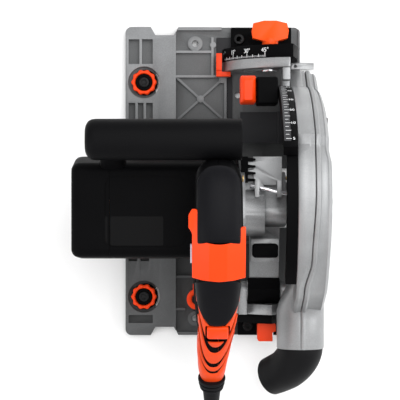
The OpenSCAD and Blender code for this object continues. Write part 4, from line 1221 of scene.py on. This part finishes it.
# Down the handle: outer Y, Z, inner Y, Z, and the left and right X.
HANDLE = (
    (14, 158, -35, 158, -17, 24),
    (17, 185, -33, 175, -17, 24),
    (14, 214, -34, 199, -17, 24),
    (4, 233, -42, 206, -17, 24),
    (-20, 240, -50, 207, -17, 24),
    (-54, 238, -58, 206, -17, 24),
    (-88, 224, -92, 192, -15.5, 21.5),
    (-127, 197, -122, 170, -13, 18),
    (-158, 168, -131, 157, -14, 13.2),
    (-176, 151, -132, 152, -13.4, 10.4),
    (-182, 140, -131, 149, -13.2, 9.8),
    (-177, 129, -127, 146, -12, 9),
    (-150, 119, -115, 142, -15, 16),
    (-110, 106, -100, 137, -18, 22),
    (-68, 98, -68, 132, -19, 23.5),
)
SPLIT_X = 3.5  # where the two shells meet
SQUARE = 2.7  # power of the handle's superelliptical section


def handle_frame(s):
    """The row of HANDLE at s, which counts rows and may fall between two."""
    i = min(int(s), len(HANDLE) - 2)
    return curve_point([Vector(row) for row in HANDLE], i, s - i)


def handle_point(s, angle, grow=0.0):
    """Point of the handle's skin at s. The angle is 0 on the outside, and positive toward +X."""
    oy, oz, iy, iz, left, right = handle_frame(s)
    outside, inside = Vector((oy, oz)), Vector((iy, iz))
    middle, up = (outside + inside) / 2, (outside - inside)
    half_h, half_w = up.length / 2 + grow, (right - left) / 2 + grow
    up.normalize()
    across, rise = superpoint(math.pi / 2 - angle, half_w, half_h, SQUARE)
    at = middle + up * rise
    return ((left + right) / 2 + across, at.x, at.y)


def handle_s(y):
    """Where the outside of the top of the handle is at that Y."""
    low, high = 3.0, 9.0
    for _ in range(40):
        middle = (low + high) / 2
        if handle_frame(middle)[0] > y:
            low = middle
        else:
            high = middle
    return (low + high) / 2


def skin(name, start, stop, half, grow, depth=3.0, rows=28, columns=32, relief=None, edge=0.9):
    """Thick patch on the handle between s = start(u) and stop(u).

    Across it u runs from -1 to 1, over half(s) degrees on each side.
    """
    grids = ([], [])
    for i in range(rows + 1):
        rim_i = min(i, rows - i)
        t = i / rows
        for layer in (0, 1):
            row = []
            for j in range(columns + 1):
                u = -1 + 2 * j / columns
                s = start(u) + (stop(u) - start(u)) * t
                rim = 0 < rim_i and 0 < j < columns
                lift = grow if layer == 0 else -depth
                if layer == 0 and not rim:
                    lift = grow - edge
                if layer == 0 and relief:
                    lift += relief(u, t)
                row.append(handle_point(s, u * math.radians(half(s)), lift))
            grids[layer].append(row)
    return join(name, [grid_mesh(grids)])


class SAW_OT_handle(SawOperator, bpy.types.Operator):
    """Makes the handle shells, grips, collar, tail, controls and cord guard"""

    bl_idname = "saw.handle"
    bl_label = "Handle"

    def build(self):
        self.shells()
        self.palm_pad()
        self.collar()
        self.rear_grip()
        self.tail()
        dress("side_plate", "label_plate", 0.3)
        dress("trigger", "black_gloss", 0.8)
        self.button()
        self.guard()

    def guard(self):
        """Ribbed bend relief the cord leaves through."""
        bore, length, lean = 4.35, 50, 125
        # Radius and height of the three ribs.
        ribs = [
            (12.0, 5), (12.3, 5.6), (12.3, 7.2), (11.9, 7.8), (9.8, 8.2), (9.6, 9.2),
            (11.3, 9.6), (11.7, 10.2), (11.7, 11.6), (11.3, 12.2), (9.2, 12.6), (9.0, 13.6),
            (10.4, 14.0), (10.8, 14.6), (10.8, 15.6), (10.4, 16.2), (8.3, 16.8),
        ]
        profile = [(bore, -6), (7, -6), (7, 4.9)] + ribs + [(5.5, length), (bore, length)]
        exit_at = Vector(CORD_UPPER[0]) / MM
        away = Matrix.Rotation(math.radians(lean), 3, "X") @ Vector((0, 0, 1))
        guard = join("cord_guard_ribbed", [lathe(profile, exit_at - away * length, away, 72)])
        round_edges(guard, 0.25, 28)
        put(guard, "saw_unit", "black_rubber", "black_plastic", ("cord_guard",))

    def shells(self):
        """The two hollow halves, which stop half a seam short of the split."""
        gap, wall = self.sizes.seam / 2, 2.6
        steps, arcs = 6, 20
        rings = {-1: [], 1: []}
        for k in range((len(HANDLE) - 1) * steps + 1):
            s = k / steps
            for side in (-1, 1):
                angles = [side * math.pi * j / arcs for j in range(arcs + 1)]
                outer = [handle_point(s, a) for a in angles]
                inner = [handle_point(s, a, -wall) for a in reversed(angles)]
                edge = SPLIT_X + side * gap
                ring = [((max if side > 0 else min)(x, edge), y, z) for x, y, z in outer + inner]
                for j in (0, arcs, arcs + 1, 2 * arcs + 1):
                    ring[j] = (edge, *ring[j][1:])
                rings[side].append(ring)
        low, high = (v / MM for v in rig.box("trigger"))
        slot = rounded((low.x - 0.6, low.y - 6.5), (high.x + 0.6, high.y + 6.5), 1.5)
        for side, name in ((-1, "left"), (1, "right")):
            shell = join(name + "_handle_shell", [rings_mesh(rings[side])])
            cut(shell, [prism(slot, low.z - 8, high.z + 7), self.button_well()])
            round_edges(shell, 0.35, 50)
            put(shell, "saw_unit", "black_nylon", "black_plastic", ("handle_" + name + "_shell",))

    def button_form(self, layers):
        """Rounded block square to the tail: layers are z, side, rear and front there."""
        centre, turn = Vector((2.8, -134, 190)), Matrix.Rotation(math.radians(43), 3, "X")
        rings = []
        for z, side, rear, front in layers:
            outline = rounded((-side, -rear), (side, front), 2)
            rings.append([turn @ Vector((p[0], p[1], z)) + centre for p in outline])
        return rings_mesh(rings)

    def button_well(self, grow=0.5):
        """Cutter for the pocket the button moves in."""
        side, rear, front = 9.8 + grow, 9.5 + grow, 8.8 + grow
        return self.button_form([(-9.0, side, rear, front), (6.0, side, rear, front)])

    def button(self):
        layers = [(-7, 9.3, 5.6, 8.3), (1.6, 9.3, 5.6, 8.3), (2.6, 8.6, 5.0, 7.4), (3.1, 7.4, 3.8, 6.2)]
        button = join("lock_off_cap", [self.button_form(layers)])
        round_edges(button, 0.6)
        put(button, "lock_off_button", "orange_moulding", "orange", ("lock_off_button",))
        tray = join("button_tray", [self.button_form([(-13.4, 11, 11.5, 10.5), (-11.8, 11, 11.5, 10.5)])])
        round_edges(tray, 0.3)
        put(tray, "saw_unit", "black_nylon", "black_plastic")

    def palm_pad(self):
        start, stop = 2.7, handle_s(-55.0)

        def ridge(u, t):
            return 1.6 * max(0.0, 1 - abs(u)) ** 0.8 - 0.3

        def front(u):
            return start + 0.42 * u * u

        rim = skin("pad_rim", lambda u: front(u) - 0.12, lambda u: stop, lambda s: 62, 0.9, rows=44, edge=0.5)
        round_edges(rim, 0.4, 45)
        put(rim, "saw_unit", "black_gloss", "black_plastic")
        pad = skin("palm_pad_cover", front, lambda u: stop, lambda s: 52, 2.2, rows=44, relief=ridge)
        round_edges(pad, 0.5, 45)
        put(pad, "saw_unit", "charcoal_grip", "soft_grip", ("palm_pad",))

    def collar(self):
        """Three flat faces across the top, with an arm forward along each side of the pad."""
        # X, and height from the top of the handle.
        section = [(-19.2, -34), (-19.2, -7.5), (-4.7, 2.4), (10.4, 2.4), (26.2, -7.5), (26.2, -34)]
        points, columns = [], 7
        for (x0, z0), (x1, z1) in zip(section, section[1:]):
            points += [(x0 + (x1 - x0) * k / columns, z0 + (z1 - z0) * k / columns) for k in range(columns)]
        points.append(section[-1])
        grids = ([], [])
        rows = 22
        for i in range(rows + 1):
            t = i / rows
            for layer in (0, 1):
                row = []
                for x, z in points:
                    side = min(1.0, abs(x - SPLIT_X) / 19.0)
                    reach = 30.0 if x < SPLIT_X else 15.0
                    front = -56.0 + 5.0 * side * side + (reach - 5.0) * max(0.0, (side - 0.72) / 0.28) ** 0.6
                    rear = -88.0 + 1.8 * side - 0.28 * min(0.0, z + 2)
                    y = front + (rear - front) * t
                    oz = handle_frame(handle_s(y))[1]
                    centre = Vector((SPLIT_X, oz - 17))
                    bulge = 3.0 * ease(-y, 26, 31) * (1 - ease(-y, 42, 46)) if x < -18 else 0.0
                    at = Vector((x - bulge, oz + z + 0.8))
                    if layer:
                        at = centre + (at - centre) * (1 - 3.2 / max(6.0, (at - centre).length))
                    row.append((at.x, y, at.y))
                grids[layer].append(row)
        collar = join("orange_collar", [grid_mesh(grids)])
        round_edges(collar, 0.9, 14, 3)
        put(collar, "saw_unit", "orange_moulding", "orange", ("handle_collar",))

    def rear_grip(self):
        start = handle_s(-87.0)
        grip = skin(
            "rear_grip_cover", lambda u: start, lambda u: grip_edge(62 * u),
            lambda s: 92 - 30 * max(0.0, s - start), 1.5, relief=lambda u, t: 0.5 * max(0.0, 1 - abs(u)),
        )
        round_edges(grip, 0.5, 45)
        put(grip, "saw_unit", "charcoal_grip", "soft_grip", ("rear_grip",))

    def tail(self):
        """Orange overmould in bands, with dark grooves sweeping forward down the sides."""
        # Each band's front and rear edge: Y on the centre line, then how far each one sweeps forward.
        marks = [
            (None, -147.0, 0, 0.86), (-152.8, -162.4, 0.78, 0.88),
            (-166.8, -169.4, 0.84, 0.84), (-172.8, None, 0.8, 0),
        ]
        reach = 112.0
        pieces = []
        for k, (ahead, behind, first, last) in enumerate(marks):
            start = (lambda u: grip_edge(reach * u) + 0.035) if ahead is None else sweep(ahead, reach, first)
            stop = (lambda u: 10.7) if behind is None else sweep(behind, reach, last)
            name = "tail_band_" + str(k + 1)
            piece = skin(name, start, stop, lambda s: reach, 1.3, rows=14, columns=48, edge=0.7)
            pieces.append(piece)
        cut(pieces[0], [self.button_well(0.9)])
        for k, piece in enumerate(pieces):
            round_edges(piece, 0.4, 45)
            put(piece, "saw_unit", "orange_overmould", "orange_soft", ("tail_cover",) if k == 0 else ())


def grip_edge(angle):
    """Where the rear grip ends at an angle round the handle, in degrees: a U behind the button."""
    side = abs(angle) / 62
    bend = 0.62 * min(1.0, side) ** 2.2 + 0.5 * max(0.0, side - 1)
    return handle_s(-127.5) - bend


def sweep(y, reach, bend):
    """Edge of a tail band: furthest back on the centre line, sweeping forward down the sides."""
    at = handle_s(y)
    return lambda u: at - bend * min(1.2, abs(u * reach) / 60) ** 1.6


# ---- blade case --------------------------------------------------------------

SPINDLE = (-18, 92)  # Y, Z
DUST_OUTLET = (81, 80)  # X, Z


def case_outline():
    """Side outline of the blade case as (Y, Z), from under the nose round to the heel."""
    points = arc((88, 34), 18, -90, 0, 8)
    points += arc(PIVOT, 193, 3, 42, 26)
    points += arc(SPINDLE, 103.5, 62, 150, 34)
    points += [(-113, 128), (-119, 113), (-123, 100), (-125, 80), (-122, 60), (-112, 46), (-96, 40)]
    points.append((-62, 16))
    return [Vector(p) for p in points]


def inset_line(points, inset):
    """Anticlockwise line moved inward by inset, along its spokes from the spindle so that it can't cross."""
    hub = Vector(SPINDLE)
    moved = []
    for k, p in enumerate(points):
        before, after = points[k - 1], points[(k + 1) % len(points)]
        along = ((p - before).normalized() + (after - p).normalized()).normalized()
        spoke = (p - hub).normalized()
        facing = spoke.dot(Vector((along.y, -along.x)))
        moved.append(p - spoke * inset / max(0.6, facing))
    return moved


def ease(value, low, high):
    """Smooth step from 0 to 1."""
    t = min(1.0, max(0.0, (value - low) / (high - low)))
    return t * t * (3 - 2 * t)


def case_seam(y):
    """X of the seam between the two halves."""
    return 88.0 - 2.6 * ease(-y, 10, 72) - 5.2 * ease(-y, 72, 100)


def case_outside(y):
    """X of the outside face of the right half."""
    return 103.0 - 2.2 * ease(y, 14, 30) - 1.4 * ease(y, 60, 100) - 1.0 * ease(-y, 30, 90)


def case_ring(x_of, inset):
    """The outline moved inward by inset, at the X that x_of gives for each Y."""
    return [(x_of(p.x), q.x, q.y) for p, q in zip(case_outline(), inset_line(case_outline(), inset))]


class SAW_OT_blade_case(SawOperator, bpy.types.Operator):
    """Makes the two halves of the blade case, its crown strip, its screws and the dust sleeve"""

    bl_idname = "saw.blade_case"
    bl_label = "Blade case"

    def build(self):
        gap = self.sizes.seam
        left = 72.4
        # Rings from the motor side outward: X for each Y, and inset.
        inner = [
            (lambda y: left, 3.2), (lambda y: left + 0.7, 1.0), (lambda y: left + 2.2, 0.1),
            (lambda y: case_seam(y) - 4.6, 0), (lambda y: case_seam(y) - 3.4, 0.9),
            (lambda y: case_seam(y) - 1.6, 0.9), (lambda y: case_seam(y) - gap, 1.3),
        ]
        outer = [
            (lambda y: case_seam(y) + gap, 1.5), (lambda y: case_seam(y) + 1.0, 0.4),
            (lambda y: case_seam(y) + 3.4, 0.0), (lambda y: case_seam(y) + 4.6, 0.9),
            (lambda y: case_seam(y) + 5.4, 2.8), (lambda y: case_seam(y) + 6.6, 3.2),
            (lambda y: case_outside(y) - 4.4, 3.6), (lambda y: case_outside(y) - 3.4, 3.0),
            (lambda y: case_outside(y) - 1.4, 5.0), (lambda y: case_outside(y) - 0.3, 8.5),
            (case_outside, 13),
        ]
        self.half("blade_case_left", inner, "blade_case", True)
        self.half("blade_case_right", outer, "case_cover", False)
        self.sleeve()
        self.side_strip()
        self.screws()

    def side_strip(self):
        """Black moulding that carries on from the depth scale over the crown."""
        outer = arc(SPINDLE, 101.6, 60, 138, 40)
        inner = arc(SPINDLE, 90, 138, 60, 40)
        strip = join("crown_strip", [prism(outer + inner, 63.0, 72.6, "x")])
        round_edges(strip, 0.6)
        put(strip, "tilt_unit", "black_nylon", "black_plastic")

    def screws(self):
        """Cross-slotted screws along the right half."""
        profile = [(0, 0), (2.6, 0), (3.6, 1.2), (3.6, 1.9), (0, 1.9)]
        heads = []
        for y, z in ((60, 158), (88, 60), (-70, 168), (-118, 92), (-20, 189)):
            toward = (Vector(SPINDLE) - Vector((y, z))).normalized()
            at = Vector((y, z)) + toward * 11.5
            x = case_outside(y) - 1.6
            head = link("head", lathe(profile, (x, at.x, at.y), (1, 0, 0), 32))
            for a, b in ((2, 0.4), (0.4, 2)):
                slot = rounded((at.x - a, at.y - b), (at.x + a, at.y + b), 0.2)
                cut(head, [prism(slot, x + 0.8, x + 3, "x")])
            heads.append(head.data.copy())
            bpy.data.objects.remove(head)
        screws = join("case_screw_heads", heads)
        round_edges(screws, 0.15)
        put(screws, "tilt_unit", "dark_steel", "steel", ("case_screws",))

    def chamber(self):
        """Cutters for the blade's chamber, its open floor, the rear slit and the room for the flange's nut."""
        rings = [
            case_ring(lambda y: 75.4, 3.7), case_ring(lambda y: case_seam(y) + 2.0, 3.7),
            case_ring(lambda y: case_seam(y) + 4.6, 6.3), case_ring(lambda y: case_outside(y) - 6.0, 7.3),
            case_ring(lambda y: case_outside(y) - 3.1, 10.7),
        ]
        floor = prism([(-62, -6), (88, -6), (88, 24), (-62, 24)], 75.4, 92, "x")
        slit = prism([(-101, 22), (-58, 2), (-58, 44), (-101, 56)], 84.5, 92.5, "x")
        nut_gap = prism([(-40, -6), (14, -6), (14, 27), (-40, 27)], 91, 98.8, "x")
        return [rings_mesh(rings), floor, slit, nut_gap]

    def slot(self):
        """Slot the spindle and its housing swing in."""
        middle, half_width = 93.2, 18
        outer = arc(PIVOT, middle + half_width, -22, 25, 14)
        inner = arc(PIVOT, middle - half_width, 25, -22, 14)
        return prism(outer + inner, 60, 80, "x")

    def half(self, name, stations, node, slotted):
        shell = join(name, [rings_mesh([case_ring(x_of, inset) for x_of, inset in stations])])
        cut(shell, self.chamber())
        if slotted:
            cut(shell, [self.slot()])
        round_edges(shell, 0.5, 38)
        put(shell, "tilt_unit", "case_paint", "case_silver", (node,))

    def sleeve(self):
        """Sleeve the case flares into, round the dust outlet."""
        # Y, middle X and Z, half width, half height and power of each section.
        outside = [
            (-86, 86.5, 90, 12.0, 44, 6), (-96, 85.2, 87, 15.0, 38, 4.5), (-106, 83.2, 84, 18.4, 31, 3.4),
            (-114, 81.8, 81.5, 20.8, 25, 2.6), (-121, 81, 80, 22, 22.4, 2.1), (-130, 81, 80, 22, 22, 2),
            (-155.5, 81, 80, 22, 22, 2), (-156.6, 81, 80, 21.4, 21.4, 2),
        ]
        mouth = [(-156.6, 20.8), (-140.2, 20.8), (-140.2, 16)]
        inside = [(-120, 81, 80, 16, 16, 2), (-104, 84, 84, 14, 27, 3), (-86, 87, 90, 8.5, 38, 5)]
        angles = around(216)
        rings = []
        for y, x, z, hx, hz, power in outside:
            ring = [(x + p[0], z + p[1]) for p in (superpoint(a, hx, hz, power) for a in angles)]
            rings.append([(px, y, pz + (self.joint_line(px, y) if pz > z else 0)) for px, pz in ring])
        x, z = DUST_OUTLET
        for y, r in mouth:
            rings.append([(x + r * math.cos(a), y, z + r * math.sin(a)) for a in angles])
        for y, x, z, hx, hz, power in inside:
            rings.append([(x + p[0], y, z + p[1]) for p in (superpoint(a, hx, hz, power) for a in angles)])
        sleeve = join("dust_sleeve", [rings_mesh(rings, closed=True)])
        round_edges(sleeve, 0.5, 45)
        put(sleeve, "tilt_unit", "case_paint", "case_silver")

    def joint_line(self, x, y):
        """Groove and ridge that carry the case's seam along the sleeve."""
        off = x - case_seam(y)
        return 0.7 * math.exp(-(((off - 2.6) / 1.2) ** 2)) - 1.1 * math.exp(-((off / 0.5) ** 2))


class SAW_OT_dust_elbow(SawOperator, bpy.types.Operator):
    """Makes the swivelling rubber dust elbow, open right through"""

    bl_idname = "saw.dust_elbow"
    bl_label = "Dust elbow"

    def build(self):
        bend = [
            (81, -141, 80), (81, -150, 80), (81, -158, 79.6), (77.5, -167, 75.5), (70.5, -175.8, 68),
            (62, -181.6, 60), (54.4, -185.6, 53),
        ]
        line = smooth_line(bend, 5)
        last = len(line) - 1
        radii = []
        for i in range(last + 1):
            t = i / last
            radii.append(20.4 + 0.6 * math.sin(math.pi * min(1, t * 1.3)) - 2.4 * t * t)
        sides, edge, wall = 56, 1.0, 3.0
        outer = tube_rings(line, radii, sides)
        rim = tube_rings(line, [r - edge for r in radii], sides)
        inner = tube_rings(line, [r - wall for r in radii], sides)
        rings = outer[:-1] + [self.between(outer[-1], outer[-2], 0.3), rim[-1]] + inner[::-1]
        elbow = join("dust_elbow_cover", [rings_mesh(rings, closed=True)])
        round_edges(elbow, 0.6, 45)
        put(elbow, "dust_elbow", "black_rubber", "black_plastic", ("dust_elbow",))

    def between(self, first, second, share):
        """Ring that lies share of the way from the first ring to the second."""
        return [a + (b - a) * share for a, b in zip(first, second)]


# ---- panel and registration --------------------------------------------------

OPERATORS = (
    SAW_OT_stage, SAW_OT_cord, SAW_OT_base, SAW_OT_rail_knobs, SAW_OT_scales, SAW_OT_depth_stop,
    SAW_OT_gear_head, SAW_OT_drive, SAW_OT_motor, SAW_OT_handle, SAW_OT_blade_case, SAW_OT_dust_elbow,
)


class SAW_PT_panel(bpy.types.Panel):
    """Colours and sizes of the saw, and a button for each piece"""

    bl_idname = "SAW_PT_panel"
    bl_label = "Track plunge saw"
    bl_space_type = "VIEW_3D"
    bl_region_type = "UI"
    bl_category = "Saw"

    def draw(self, context):
        for group in (context.scene.saw_colours, context.scene.saw_sizes):
            box = self.layout.box()
            for name in group.__annotations__:
                box.prop(group, name)
        column = self.layout.column(align=True)
        for operator in OPERATORS:
            column.operator(operator.bl_idname)


CLASSES = (SawColours, SawSizes) + OPERATORS + (SAW_PT_panel,)


def register():
    for cls in CLASSES:
        bpy.utils.register_class(cls)
    bpy.types.Scene.saw_colours = PointerProperty(type=SawColours)
    bpy.types.Scene.saw_sizes = PointerProperty(type=SawSizes)


def unregister():
    del bpy.types.Scene.saw_sizes
    del bpy.types.Scene.saw_colours
    for cls in reversed(CLASSES):
        bpy.utils.unregister_class(cls)


def plain(box):
    return [list(corner) for corner in box]


def main():
    register()
    for operator in OPERATORS:
        group, name = operator.bl_idname.split(".")
        if getattr(getattr(bpy.ops, group), name)() != {"FINISHED"}:
            raise RuntimeError(operator.bl_label + " did not finish")
    with open(SIZE_FILE, "w") as file:
        json.dump({"cad": plain(cad_box), "visual": plain(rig.bounds())}, file)


if __name__ == "__main__":
    main()
